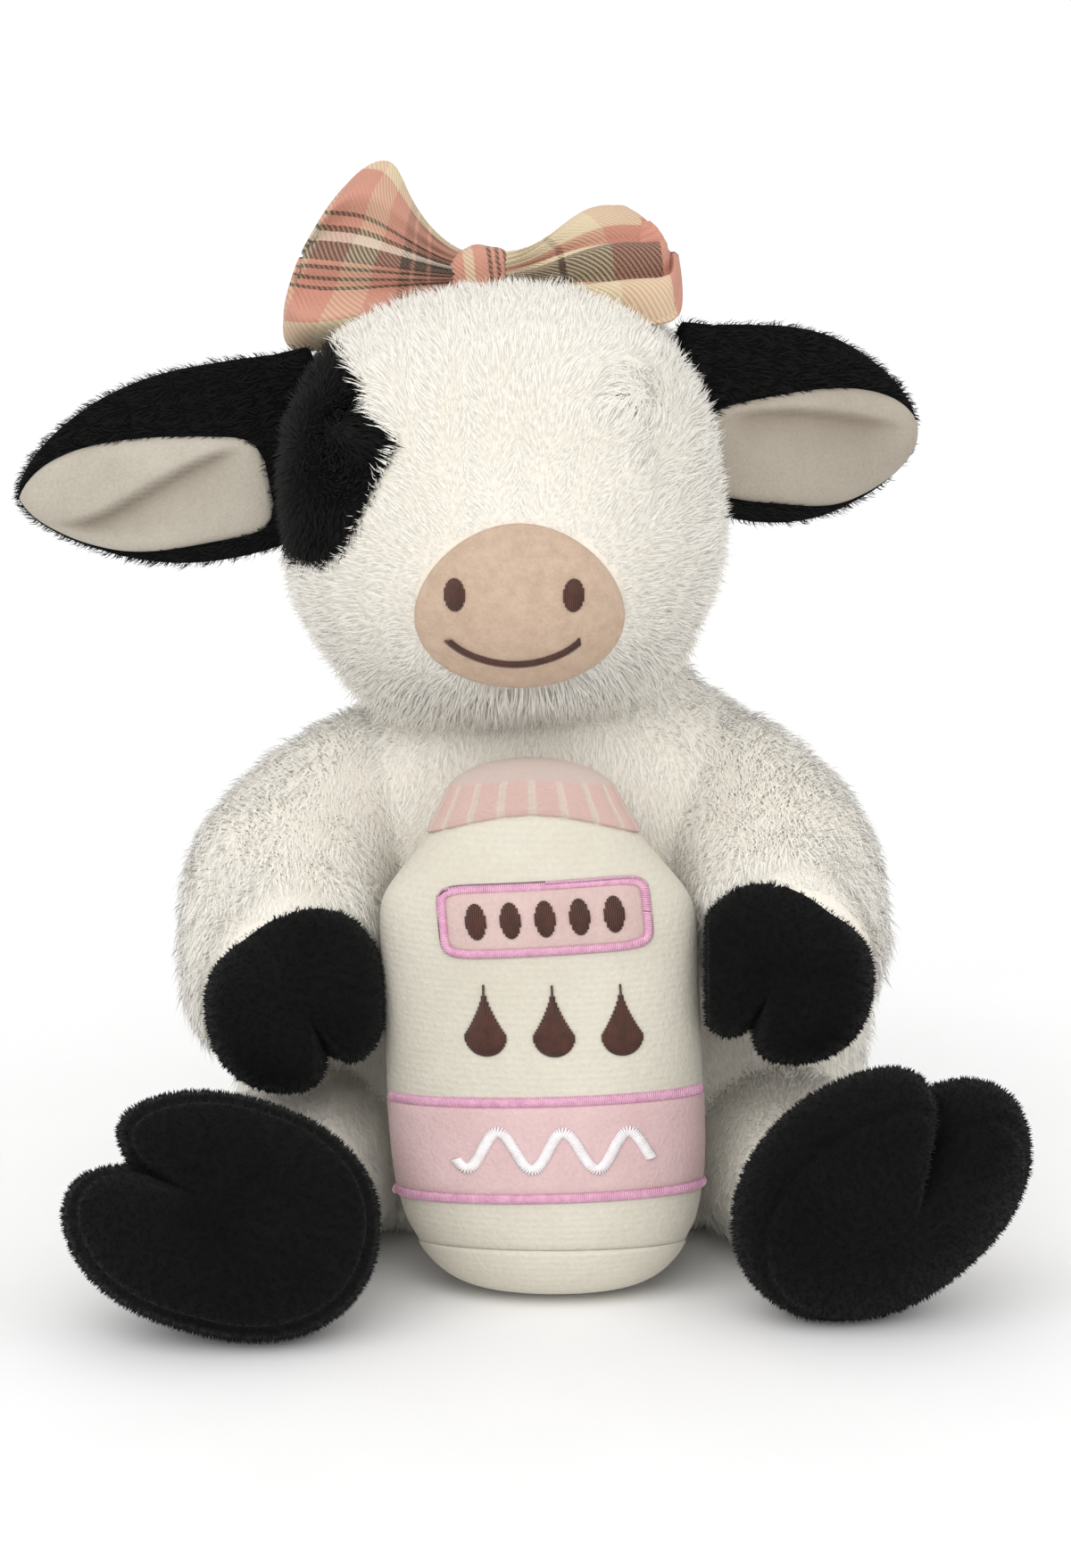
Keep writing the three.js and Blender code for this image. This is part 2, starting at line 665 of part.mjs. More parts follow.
function bowForm(grow) {
  return softForm((v, angle, target) => {
    const t = (1 - Math.cos(Math.PI * v)) / 2;
    const out = Math.min(1, Math.abs(2 * t - 1) * bowFlare);
    const flare = out * out * (3 - 2 * out);
    const half = bowWaist / 2 + (bowLoopWidth / 2 - bowWaist / 2) * flare;
    const swell = 0.5 * bowThickness * (bowEndShare + (1 - bowEndShare) * Math.sin(Math.PI * out));
    const end = v === 0 || v === 1 ? 0 : (1 - Math.abs(2 * t - 1) ** bowEndFullness) ** 0.5;
    const edge = new THREE.Vector3(0, 0, 1).lerp(t < 0.5 ? loopEdge.right : loopEdge.left, flare).normalize();
    const through = new THREE.Vector3().crossVectors(bowRun.getTangentAt(t), edge).normalize();
    const fold = bowFoldDepth * flare * Math.cos(bowFolds * Math.PI * Math.cos(angle));
    target.copy(bowRun.getPointAt(t))
      .addScaledVector(edge, (half + grow) * end * Math.cos(angle))
      .addScaledVector(through, ((swell + grow) * Math.sin(angle) + fold) * end);
  }, facetCounts.bow);
}

const bowStrip = bowForm(0).subtract(headClear);
const bowKnot = softForm((t, angle, target) => {
  target.setFromSphericalCoords(1, Math.PI * t, angle);
  const reach = (Math.abs((2 * target.x) / knotWidth) ** knotFullness
    + Math.abs((2 * target.y) / knotDepth) ** knotFullness
    + Math.abs((2 * target.z) / knotHeight) ** knotFullness) ** (-1 / knotFullness);
  target.multiplyScalar(reach).add(bowCentre);
}, facetCounts.knot).subtract(bowForm(sewnGap)).subtract(headClear);

// Milk bottle, leaning back against the belly

const bottleSize = {
  halfWidth: bottleWidth / 2,
  halfDepth: bottleDepth / 2,
  lower: bottleShoulder + floorPress,
  upper: bottleHeight - bottleShoulder,
  middle: bottleShoulder,
  lowerFullness: bottleFullness.lower,
  upperFullness: bottleFullness.upper,
};
const bottleForm = (grow) => pearForm(bottleSize, grow, facetCounts.bottle);
const lean = rad(bottleLean);
const bellyFront = torsoDepth / 2 + sewnGap + bottleDepth / 2 / Math.cos(lean);
const bottleFoot = new THREE.Vector3(
  0, -bellyFront - bottleTouch * Math.tan(lean), (bottleDepth / 2) * Math.sin(lean) * bottleSink,
);
const bottleFrame = new THREE.Matrix4().makeRotationX(-lean).setPosition(bottleFoot);
const capFloor = bottleHeight - capHeight;
const plaqueMiddle = capFloor - plaqueDrop;
const dropMiddle = plaqueMiddle - dropBelow;
const frontHalf = span(-beyond, beyond, -beyond, 0, -beyond, beyond);
const onBottle = (inner, outer, zone) => bottleForm(outer).subtract(bottleForm(inner))
  .intersect(zone).intersect(frontHalf);
const bottleBase = bottleForm(0).intersect(slab(-beyond, baseHeight));
const bottleBody = bottleForm(0).intersect(slab(baseHeight + sewnGap, capFloor));
const bottleCap = pearForm({
  halfWidth: capWidth / 2,
  halfDepth: capDepth / 2,
  lower: capHeight / 2,
  upper: capHeight / 2,
  middle: capFloor + sewnGap + capHeight / 2,
  lowerFullness: capFullness.lower,
  upperFullness: capFullness.upper,
}, 0, [2 * capRibCount, capRingCount], (angle) => capRibDepth * Math.cos(capRibCount * angle));
const bandBottom = bandMiddle - bandHeight / 2;
const bandTop = bandMiddle + bandHeight / 2;
const cordOn = (z0) => onBottle(sewnGap, sewnGap + cordWidth / 2, slab(z0, z0 + cordWidth));

function plaqueZone(grow) {
  const half = plaqueWidth / 2 + grow;
  const rise = plaqueHeight / 2 + grow;
  const round = plaqueRound + grow;
  const shape = new THREE.Shape();
  shape.absarc(half - round, rise - round, round, 0, Math.PI / 2, false);
  shape.absarc(-half + round, rise - round, round, Math.PI / 2, Math.PI, false);
  shape.absarc(-half + round, -rise + round, round, Math.PI, 1.5 * Math.PI, false);
  shape.absarc(half - round, -rise + round, round, 1.5 * Math.PI, TAU, false);
  const turn = new THREE.Matrix4().makeRotationY(-rad(plaqueTilt)).setPosition(0, 0, plaqueMiddle);
  return moved(prism(shape, -bottleDepth, 0, 3), turn);
}

// A milk drop, point up, in satin stitch
function dropZone(x) {
  const round = dropWidth / 2;
  const low = dropMiddle - dropLength / 2 + round;
  const shape = new THREE.Shape();
  shape.moveTo(x, dropMiddle + dropLength / 2);
  shape.quadraticCurveTo(x - round * dropPinch, low + round, x - round, low);
  shape.absarc(x, low, round, Math.PI, TAU, false);
  shape.quadraticCurveTo(x + round * dropPinch, low + round, x, dropMiddle + dropLength / 2);
  return prism(shape, -bottleDepth, 0, 6);
}

const stitched = sewnGap + threadHeight;
const bottleParts = {
  bottle_body: [bottleBody, materials.ivoryVelour],
  bottle_base: [bottleBase, materials.ivoryVelour],
  bottle_cap: [bottleCap, materials.coralVelour],
  label_band: [
    onBottle(sewnGap, sewnGap + appliqueHeight, slab(bandBottom, bandTop)), materials.pinkVelour],
  band_upper_cord: [cordOn(bandTop + sewnGap), materials.pinkThread],
  band_lower_cord: [cordOn(bandBottom - sewnGap - cordWidth), materials.pinkThread],
  label_plaque: [
    onBottle(sewnGap, sewnGap + appliqueHeight, plaqueZone(-plaqueBorder - sewnGap)), materials.pinkVelour],
  plaque_border: [
    onBottle(sewnGap, sewnGap + cordWidth / 2, plaqueZone(0).subtract(plaqueZone(-plaqueBorder))),
    materials.pinkThread],
};
for (let i = 0; i < dropCount; i++) {
  const x = (i - (dropCount - 1) / 2) * dropSpacing;
  bottleParts[`milk_drop_${i + 1}`] = [onBottle(sewnGap, stitched, dropZone(x)), materials.brownThread];
}
const bottleClear = moved(bottleForm(2 * sewnGap + cordWidth / 2), bottleFrame);

// The straight way along which the bottle is pulled out of the hug
function bottleWay() {
  const half = bottleWidth / 2 + 2 * sewnGap + cordWidth / 2;
  return span(-half, half, -beyond, bottleFoot.y, -beyond, bottleHeight + capRibDepth + sewnGap);
}

const hugClear = [bottleClear, bottleWay()];

// Arms and hand hooves

const armCurve = (side) => {
  const sign = sides[side];
  const drop = handDrop[side];
  const wrist = new THREE.Vector3(sign * wristSpread[side], -wristForward, wristHeight - drop);
  return new THREE.CatmullRomCurve3([
    new THREE.Vector3(sign * armRootSpread, armRootBack, shoulderHeight + armRootRise),
    new THREE.Vector3(sign * shoulderSpread, -shoulderForward, shoulderHeight),
    new THREE.Vector3(sign * elbowSpread[side], -elbowForward, elbowHeight - drop / 2),
    wrist,
    wrist.clone().add(new THREE.Vector3(-sign * cuffIn, -cuffForward, -cuffDrop)),
  ]);
};
const sleeveRadius = (share) => armRadius
  * (sleeveShape.root + sleeveShape.swell * Math.sin(Math.PI * share) ** 1.5 + sleeveShape.flare * share);
const armForm = (side, grow) => limbForm(armCurve(side), sleeveRadius, sleeveFullness, grow);
const armPivot = (side) => new THREE.Vector3(
  sides[side] * (shoulderSpread + shoulderPivotOut), 0, shoulderHeight + shoulderPivotRise,
);

function handForm(side, grow) {
  const sign = sides[side];
  const middle = new THREE.Vector3(
    sign * (wristSpread[side] - handIn), -wristForward - handForward, wristHeight - handDrop[side] - handLower,
  );
  const toes = new THREE.Vector3(-sign * 0.12, -0.25, -1);
  const back = new THREE.Vector3(-sign * 0.1, -0.9, 0.25);
  const size = {
    length: handLength,
    width: handWidth,
    thickness: handThickness,
    fullness: handFullness,
    cleftBearing: sign * handCleft,
  };
  return moved(hoofForm(size, grow, facetCounts.hand), frameAt(middle, toes, back));
}

function armParts(side) {
  const sign = sides[side];
  const outwards = new THREE.Vector3(0, -sign, 0);
  const paths = sweptAround(torsoClear, armPivot(side), outwards, 0, armSwing);
  const sleeve = without(armForm(side, 0), [...paths, ...hugClear]);
  const hoof = without(handForm(side, 0), [armForm(side, sewnGap), ...paths, ...hugClear]);
  return { sleeve, hoof };
}

// Legs and foot hooves

const footSize = (side) => ({
  length: footLength[side],
  width: footWidth[side],
  thickness: footThickness[side],
  fullness: footFullness[side],
  cleftBearing: footCleft[side],
});

// A foot rests on the floor with its toes and its sole turned as given
function footForm(side, grow) {
  const place = new THREE.Vector3(sides[side] * footSpread[side], -footForward[side], 0);
  const size = footSize(side);
  const rough = moved(hoofForm(size, 0, facetCounts.foot), frameAt(place, footToes[side], footSole[side]));
  place.z = -rough.boundingBox().min[2] - floorPress;
  return moved(hoofForm(size, grow, facetCounts.foot), frameAt(place, footToes[side], footSole[side]));
}

const hip = (side) => new THREE.Vector3(sides[side] * hipSpread, -hipForward, hipHeight);
const legCurve = (side) => {
  const ankle = new THREE.Vector3(sides[side] * footSpread[side], ankleBack - footForward[side], hipHeight);
  return new THREE.CatmullRomCurve3([hip(side), hip(side).lerp(ankle, 0.5), ankle]);
};
const thighRadius = (share) => legRadius * (thighShape.root - thighShape.taper * share);

function legParts(side) {
  const sign = sides[side];
  const outwards = new THREE.Vector3(0, 0, sign);
  const paths = sweptAround(torsoClear, hip(side), outwards, 0, legSplay);
  const thigh = aboveFloor(without(limbForm(legCurve(side), thighRadius, thighFullness, 0), [
    footForm(side, sewnGap), ...paths, ...hugClear,
  ]));
  const hoof = aboveFloor(without(footForm(side, 0), [...paths, ...hugClear]));
  return { thigh, hoof };
}

// The toy: the torso carries every other part

const cow = new THREE.Group();
cow.add(
  meshOf('torso_cover', torsoCover, materials.whitePlush),
  meshOf('torso_stuffing', torsoStuffing, materials.fill),
  meshOf('pocket_liner', pocketLiner, materials.cotton),
  meshOf('pocket_loop_strip', pocketLoopStrip, materials.tape),
  meshOf('pocket_flap', pocketFlap, materials.whitePlush),
  meshOf('pocket_hook_strip', pocketHookStrip, materials.tape),
  meshOf('heat_pack', heatPack, materials.cotton),
);

const head = new THREE.Group();
head.position.copy(neckCentre);
head.rotation.y = -rad(headLean);
head.add(
  meshOf('head_cover', headCover, materials.whitePlush),
  meshOf('head_stuffing', headStuffing, materials.fill),
  meshOf('eye_patch', eyePatch, materials.blackPlush),
  meshOf('muzzle', muzzle, materials.beigeVelour),
  meshOf('mouth_stitch', mouthStitch, materials.brownThread),
  meshOf('bow_strip', bowStrip, materials.plaidCloth),
  meshOf('bow_knot', bowKnot, materials.plaidCloth),
);
for (const [side, sign] of Object.entries(sides)) {
  const ear = earParts(side);
  head.add(
    meshOf(`nostril_${side}`, nostril(sign), materials.brownThread),
    meshOf(`eye_${side}`, eyes[side].bead, materials.eyePlastic),
    meshOf(`eye_washer_${side}`, eyes[side].washer, materials.eyePlastic),
    meshOf(`${side}_ear_back`, ear.outer, materials.blackPlush),
    meshOf(`${side}_ear_lining`, ear.lining, materials.earVelour),
  );
  const arm = armParts(side);
  const leg = legParts(side);
  cow.add(
    meshOf(`${side}_arm`, arm.sleeve, materials.whitePlush),
    meshOf(`${side}_hand_hoof`, arm.hoof, materials.blackVelour),
    meshOf(`${side}_leg`, leg.thigh, materials.whitePlush),
    meshOf(`${side}_foot_hoof`, leg.hoof, materials.blackVelour),
  );
}
cow.add(head);
for (const [name, [solid, material]] of Object.entries(bottleParts)) {
  cow.add(meshOf(name, aboveFloor(moved(solid, bottleFrame)).subtract(torsoClear), material));
}

export default cow;
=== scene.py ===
# %% [markdown]
# # A seated plush cow with a milk bottle
#
# The toy is sewn from long white plush, black plush, short velour and a plaid cloth, and stuffed.
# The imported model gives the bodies, the joints and the place of every piece. This lesson dresses it:
# each sewn form is a surface worked out with numpy, and the pile is made of real strands, because a
# plush toy is recognised by its soft, furry outline, which a bump in a material can't give.

# %% Load the frame
import json

import bpy
import numpy as np
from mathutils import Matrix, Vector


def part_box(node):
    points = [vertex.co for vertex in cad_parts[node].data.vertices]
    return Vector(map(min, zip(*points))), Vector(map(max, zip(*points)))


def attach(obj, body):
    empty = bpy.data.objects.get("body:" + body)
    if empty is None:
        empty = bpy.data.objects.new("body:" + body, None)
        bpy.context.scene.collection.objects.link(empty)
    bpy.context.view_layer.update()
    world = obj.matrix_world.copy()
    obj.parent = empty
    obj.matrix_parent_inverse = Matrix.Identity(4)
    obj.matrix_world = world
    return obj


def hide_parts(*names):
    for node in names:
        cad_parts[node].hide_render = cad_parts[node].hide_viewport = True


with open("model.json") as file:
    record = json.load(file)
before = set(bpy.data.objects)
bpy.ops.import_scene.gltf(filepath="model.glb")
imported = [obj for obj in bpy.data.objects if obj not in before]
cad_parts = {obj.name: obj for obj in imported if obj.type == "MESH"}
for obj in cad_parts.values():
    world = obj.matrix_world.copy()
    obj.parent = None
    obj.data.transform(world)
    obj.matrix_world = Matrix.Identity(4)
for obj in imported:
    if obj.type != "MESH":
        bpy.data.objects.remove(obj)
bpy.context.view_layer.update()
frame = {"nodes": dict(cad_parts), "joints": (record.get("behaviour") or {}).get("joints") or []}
MM = 0.001
joints = {joint["name"]: joint for joint in frame["joints"]}


def box_mm(node):
    """Lowest and highest corner of a node of the frame, in millimetres."""
    return [np.array(corner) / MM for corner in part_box(node)]


# %% [markdown]
# ## Arrays, grids and pieces
#
# All shapes are arrays of points in millimetres. A closed form is a stack of rings with a pole at each
# end; a pad is two grids back to back. One function turns points and faces into a piece of the scene,
# turns its faces outwards by the sign of its volume, and lets it ride on a body of the frame.

# %% Array helpers


def unit(vectors):
    """Each vector divided by its length."""
    return vectors / np.maximum(np.linalg.norm(vectors, axis=-1, keepdims=True), 1e-9)


def ease(x, low, high):
    """0 below low, 1 above high and a smooth step between them."""
    t = np.clip((x - low) / (high - low), 0, 1)
    return t * t * (3 - 2 * t)


def bell(x, width):
    """A bell curve of height 1: e to the minus square of x over width."""
    return np.exp(-((x / width) ** 2))


def full_turn(count):
    """Angles that divide a full turn evenly."""
    return np.linspace(0, 2 * np.pi, count, endpoint=False)


def round_shares(count):
    """Shares between 0 and 1, closer together towards both ends, as even steps round a half circle are."""
    return (1 - np.cos(np.pi * np.linspace(0, 1, count + 2)[1:-1])) / 2


def lengths_along(line):
    """Length of a line of points from its start to each of them."""
    return np.concatenate([[0], np.cumsum(np.linalg.norm(np.diff(line, axis=0), axis=1))])


def places_along(line, length, at):
    """Points of a line at these lengths from its start."""
    return np.stack([np.interp(at, length, column) for column in line.T], -1)


def grid_quads(rows, cols, wrap):
    """Quads of a grid numbered row by row, with each corner's column and row for a UV map."""
    r, c = np.meshgrid(np.arange(rows - 1), np.arange(cols if wrap else cols - 1), indexing="ij")
    corner_r = np.stack([r, r, r + 1, r + 1], -1).reshape(-1, 4)
    corner_c = np.stack([c, c + 1, c + 1, c], -1).reshape(-1, 4)
    return corner_r * cols + corner_c % cols, corner_c / cols, corner_r / (rows - 1)


def closed_rings(rings, low_pole, high_pole):
    """A closed form from rings of points, rows by columns, with a fan of triangles to each pole."""
    rows, cols = rings.shape[:2]
    points = np.concatenate([rings.reshape(-1, 3), [low_pole], [high_pole]])
    quads, u, v = grid_quads(rows, cols, True)
    here = np.arange(cols)
    after = (here + 1) % cols
    last = (rows - 1) * cols
    low = np.stack([np.full(cols, rows * cols), after, here], -1)
    high = np.stack([np.full(cols, rows * cols + 1), last + here, last + after], -1)
    fan_u = np.stack([here + 0.5, here + 1, here], -1) / cols
    low_v = np.tile([-0.02, 0, 0], (cols, 1))
    high_u = np.stack([here + 0.5, here, here + 1], -1) / cols
    uv = np.concatenate([np.stack([u, v], -1).reshape(-1, 2), np.stack([fan_u, low_v], -1).reshape(-1, 2),
                         np.stack([high_u, 1 - low_v], -1).reshape(-1, 2)])
    return points, [quads, np.concatenate([low, high])], uv


def closed_pad(front, back):
    """A closed pad from a front and a back grid of the same size, joined along their edges."""
    rows, cols = front.shape[:2]
    points = np.concatenate([front.reshape(-1, 3), back.reshape(-1, 3)])
    quads, u, v = grid_quads(rows, cols, False)
    index = np.arange(rows * cols).reshape(rows, cols)
    loop = np.concatenate([index[0, :-1], index[:-1, -1], index[-1, :0:-1], index[:0:-1, 0]])
    after = np.roll(loop, -1)
    shift = rows * cols
    rim = np.stack([after, loop, loop + shift, after + shift], -1)
    place = np.stack([u, v], -1)
    rim_uv = np.stack([(loop % cols) / cols, (loop // cols) / (rows - 1)], -1)[:, None] + np.array(
        [[0.004, 0], [0, 0], [0, 0.004], [0.004, 0.004]])
    uv = np.concatenate([place.reshape(-1, 2), place[:, ::-1].reshape(-1, 2), rim_uv.reshape(-1, 2)])
    return points, [np.concatenate([quads, quads[:, ::-1] + shift, rim])], uv


def triangles_of(faces):
    """The triangles of quads and triangles."""
    return np.concatenate([part if part.shape[1] == 3 else np.concatenate([part[:, :3], part[:, [0, 2, 3]]])
                           for part in faces])


def volume_of(points, triangles):
    """Signed volume: a sixth of the sum of the triple products of the corners."""
    a, b, c = points[triangles].transpose(1, 0, 2)
    return (a * np.cross(b, c)).sum() / 6


def normals_of(points, triangles):
    """Vertex normals: the unit sum of the area vectors of the triangles round each vertex."""
    a, b, c = points[triangles].transpose(1, 0, 2)
    area = np.cross(b - a, c - a)
    total = np.zeros_like(points)
    for corner in triangles.T:
        np.add.at(total, corner, area)
    return unit(total)


# %% Pieces of the scene


def mesh_object(name, points, faces, uv, layer):
    """An object at the origin whose mesh holds these points, faces and UV corners."""
    mesh = bpy.data.meshes.new(name)
    loops = np.concatenate([part.ravel() for part in faces]).astype(np.int32)
    sizes = np.concatenate([np.full(len(part), part.shape[1]) for part in faces])
    starts = np.concatenate([[0], np.cumsum(sizes)[:-1]]).astype(np.int32)
    mesh.vertices.add(len(points))
    mesh.vertices.foreach_set("co", (points * MM).astype(np.float32).ravel())
    mesh.loops.add(len(loops))
    mesh.loops.foreach_set("vertex_index", loops)
    mesh.polygons.add(len(sizes))
    mesh.polygons.foreach_set("loop_start", starts)
    mesh.update(calc_edges=True)
    mesh.uv_layers.new(name=layer).data.foreach_set("uv", np.asarray(uv, np.float32).ravel())
    mesh.shade_smooth()
    piece = bpy.data.objects.new(name, mesh)
    bpy.context.scene.collection.objects.link(piece)
    return piece


def add_piece(name, form, body, material, nodes=(), layer="UVMap"):
    """A closed form as a piece that rides on a body, wears a material and stands for nodes of the frame."""
    points, faces, uv = form
    if volume_of(points, triangles_of(faces)) < 0:
        sizes = [part.shape[1] for part in faces]
        counts = [part.size for part in faces]
        corners = np.split(np.asarray(uv), np.cumsum(counts)[:-1])
        uv = np.concatenate([corner.reshape(-1, size, 2)[:, ::-1].reshape(-1, 2)
                             for corner, size in zip(corners, sizes)])
        faces = [part[:, ::-1] for part in faces]
    piece = mesh_object(name, points, faces, uv, layer)
    piece.data.materials.append(material)
    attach(piece, body)
    if nodes:
        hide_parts(*nodes)
    return piece


def skin_of(form):
    """Points, outward triangles and vertex normals of a form, for growing pile on it."""
    points, faces, _ = form
    triangles = triangles_of(faces)
    if volume_of(points, triangles) < 0:
        triangles = triangles[:, ::-1]
    return points, triangles, normals_of(points, triangles)


# %% [markdown]
# ## Finishes
#
# Plush, velour, thread and cloth share a few effects, so each shared effect is a node group: a soft mottle
# for the way brushed pile catches the light, the tint of a strand from root to tip, darker at the root as
# painted shade between the strands, and a noise that frays the edge of a woven or sewn colour. The shader
# itself stays in each material, with its constant values set on its own sockets.

# %% Shared effects


def new_group(name, inputs, outputs):
    """A shader node group with named sockets, its input node and its output node."""
    group = bpy.data.node_groups.new(name, "ShaderNodeTree")
    for label, kind, value in inputs:
        socket = group.interface.new_socket(label, in_out="INPUT", socket_type=kind)
        if value is not None:
            socket.default_value = value
    for label, kind in outputs:
        group.interface.new_socket(label, in_out="OUTPUT", socket_type=kind)
    return group, group.nodes.new("NodeGroupInput"), group.nodes.new("NodeGroupOutput")


def node(tree, kind, **settings):
    """A node with its settings; a setting whose name is a socket's sets that socket's value."""
    made = tree.nodes.new(kind)
    for key, value in settings.items():
        if key in made.inputs:
            made.inputs[key].default_value = value
        else:
            setattr(made, key, value)
    return made


def maths(tree, operation, first, second=None):
    """A Math node; each operand is a socket or a number."""
    made = tree.nodes.new("ShaderNodeMath")
    made.operation = operation
    for socket, operand in zip(made.inputs, (first, second)):
        if isinstance(operand, (int, float)):
            socket.default_value = operand
        elif operand is not None:
            tree.links.new(operand, socket)
    return made.outputs[0]


def mixed(tree, share, first, second):
    """A colour between two; the share and the colours are sockets or values."""
    made = tree.nodes.new("ShaderNodeMix")
    made.data_type = "RGBA"
    for socket, operand in zip((made.inputs[0], made.inputs[6], made.inputs[7]), (share, first, second)):
        if hasattr(operand, "is_linked"):
            tree.links.new(operand, socket)
        else:
            socket.default_value = operand
    return made.outputs[2]


def own_uv(tree):
    """The place on a piece's own UV map: whole, along and across."""
    where = node(tree, "ShaderNodeUVMap", uv_map="OFBake")
    split = node(tree, "ShaderNodeSeparateXYZ")
    tree.links.new(where.outputs[0], split.inputs[0])
    return where.outputs[0], split.outputs["X"], split.outputs["Y"]


COLOUR = "NodeSocketColor"
NUMBER = "NodeSocketFloat"


def mottle_group():
    """Two colours mixed by a coarse noise, for brushed areas, and a fine one, for the pile's grain."""
    group, given, result = new_group(
        "Brushed mottle",
        [("Dark", COLOUR, None), ("Light", COLOUR, None), ("Patch size", NUMBER, 20.0),
         ("Grain size", NUMBER, 900.0)],
        [("Color", COLOUR), ("Height", NUMBER)])
    where = node(group, "ShaderNodeTexCoord")
    coarse = node(group, "ShaderNodeTexNoise", Detail=3.0, Roughness=0.6)
    fine = node(group, "ShaderNodeTexNoise", Detail=2.0, Roughness=0.6)
    for noise, size in ((coarse, "Patch size"), (fine, "Grain size")):
        group.links.new(where.outputs["Object"], noise.inputs["Vector"])
        group.links.new(given.outputs[size], noise.inputs["Scale"])
    share = maths(group, "ADD", maths(group, "MULTIPLY", coarse.outputs["Fac"], 0.6),
                  maths(group, "MULTIPLY", fine.outputs["Fac"], 0.4))
    spread = node(group, "ShaderNodeMapRange", **{"From Min": 0.35, "From Max": 0.65})
    group.links.new(share, spread.inputs["Value"])
    colour = mixed(group, spread.outputs[0], given.outputs["Dark"], given.outputs["Light"])
    group.links.new(colour, result.inputs["Color"])
    group.links.new(fine.outputs["Fac"], result.inputs["Height"])
    return group


def strand_group():
    """The colour of a strand: from a darker root to a lighter tip along V, which is painted shade between the
    strands, and a little lighter or darker by its own U.
    """
    group, given, result = new_group(
        "Strand tint",
        [("Root", COLOUR, None), ("Tip", COLOUR, None), ("Odd", COLOUR, None)],
        [("Color", COLOUR)])
    _, own, along = own_uv(group)
    # Painted shade: the root colour is darker, for the shade deep in the pile between the strands.
    tint = mixed(group, maths(group, "POWER", along, 0.6), given.outputs["Root"], given.outputs["Tip"])
    odd = maths(group, "MULTIPLY", maths(group, "POWER", own, 2.0), 0.3)
    group.links.new(mixed(group, odd, tint, given.outputs["Odd"]), result.inputs["Color"])
    return group


def fray_group():
    """A noise over the piece's own UV map, and the same to both sides of zero, to fray the edge of a colour."""
    group, given, result = new_group("Frayed edge", [("Size", NUMBER, 200.0), ("Reach", NUMBER, 0.1)],
                                     [("Noise", NUMBER), ("Offset", NUMBER)])
    where = node(group, "ShaderNodeUVMap", uv_map="OFBake")
    noise = node(group, "ShaderNodeTexNoise", Detail=2.0)
    group.links.new(where.outputs[0], noise.inputs["Vector"])
    group.links.new(given.outputs["Size"], noise.inputs["Scale"])
    centred = maths(group, "SUBTRACT", noise.outputs["Fac"], 0.5)
    group.links.new(noise.outputs["Fac"], result.inputs["Noise"])
    group.links.new(maths(group, "MULTIPLY", centred, given.outputs["Reach"]), result.inputs["Offset"])
    return group


MOTTLE = mottle_group()
STRAND = strand_group()
FRAY = fray_group()
print("node groups", [group.name for group in (MOTTLE, STRAND, FRAY)])

# %% Making a material


def new_material(name, roughness, sheen=0.0, specular=0.3):
    """A Principled material with its constant values set, its tree and its shader."""
    material = bpy.data.materials.new(name)
    material.use_nodes = True
    shader = material.node_tree.nodes["Principled BSDF"]
    for socket, value in (("Roughness", roughness), ("Sheen Weight", sheen), ("Specular IOR Level", specular)):
        shader.inputs[socket].default_value = value
    return material, material.node_tree, shader


def linear(red, green, blue):
    """A colour given as it looks, 0 to 255, as the linear values that a shader takes."""
    share = np.array([red, green, blue]) / 255
    value = np.where(share <= 0.04045, share / 12.92, ((share + 0.055) / 1.055) ** 2.4)
    return (*value.tolist(), 1.0)


def bumped(tree, shader, height, depth):
    """Bends a shader's normal by a height, as deep as given in metres."""
    made = node(tree, "ShaderNodeBump", Strength=1.0, Distance=depth)
    tree.links.new(height, made.inputs["Height"])
    tree.links.new(made.outputs[0], shader.inputs["Normal"])


def mottled(tree, dark, light, patch=20.0, grain=900.0):
    """The mottle in a material, with its two colours and its two scales."""
    return node(tree, "ShaderNodeGroup", node_tree=MOTTLE, Dark=dark, Light=light,
                **{"Patch size": patch, "Grain size": grain})


def brushed(name, dark, light, patch=20.0, grain=900.0, depth=0.0003, painted_shade_colour=None, **shine):
    """A short-pile cloth: mottled between two colours, with the grain as a bump.

    Where a painted shade colour is given, the piece's crease attribute mixes it in: shade painted into the colour."""
    material, tree, shader = new_material(name, **shine)
    mottle = mottled(tree, dark, light, patch, grain)
    colour = mottle.outputs["Color"]
    # Painted shade: a darker colour mixed in where the crease attribute is high.
    if painted_shade_colour:
        crease = node(tree, "ShaderNodeAttribute", attribute_name="crease")
        colour = mixed(tree, crease.outputs["Fac"], colour, painted_shade_colour)
    tree.links.new(colour, shader.inputs["Base Color"])
    bumped(tree, shader, mottle.outputs["Height"], depth)
    return material


def stranded(name, root, tip, odd, **shine):
    """The finish of loose strands, with shade painted darker at their roots."""
    material, tree, shader = new_material(name, **shine)
    tint = node(tree, "ShaderNodeGroup", node_tree=STRAND, Root=root, Tip=tip, Odd=odd)
    tree.links.new(tint.outputs["Color"], shader.inputs["Base Color"])
    return material


def dress(name, material):
    """Gives a node that is shown as it was packed its material."""
    worn = frame["nodes"][name].data.materials
    worn.clear()
    worn.append(material)


# %% The toy's materials
WHITE_BACKING = linear(234, 226, 211), linear(244, 238, 227)
VELOUR = {"roughness": 0.9, "sheen": 0.1, "specular": 0.1}
white_skin = brushed("white plush backing", *WHITE_BACKING, roughness=0.95)
# Each pile's root colour is darker than its tip: painted shade between the strands.
white_pile = stranded("white plush pile", linear(241, 235, 221), linear(250, 247, 239), linear(246, 241, 230),
                      roughness=0.85, sheen=0.15, specular=0.15)
black_skin = brushed("black plush backing", linear(8, 8, 8), linear(16, 16, 16), roughness=0.95, specular=0.08)
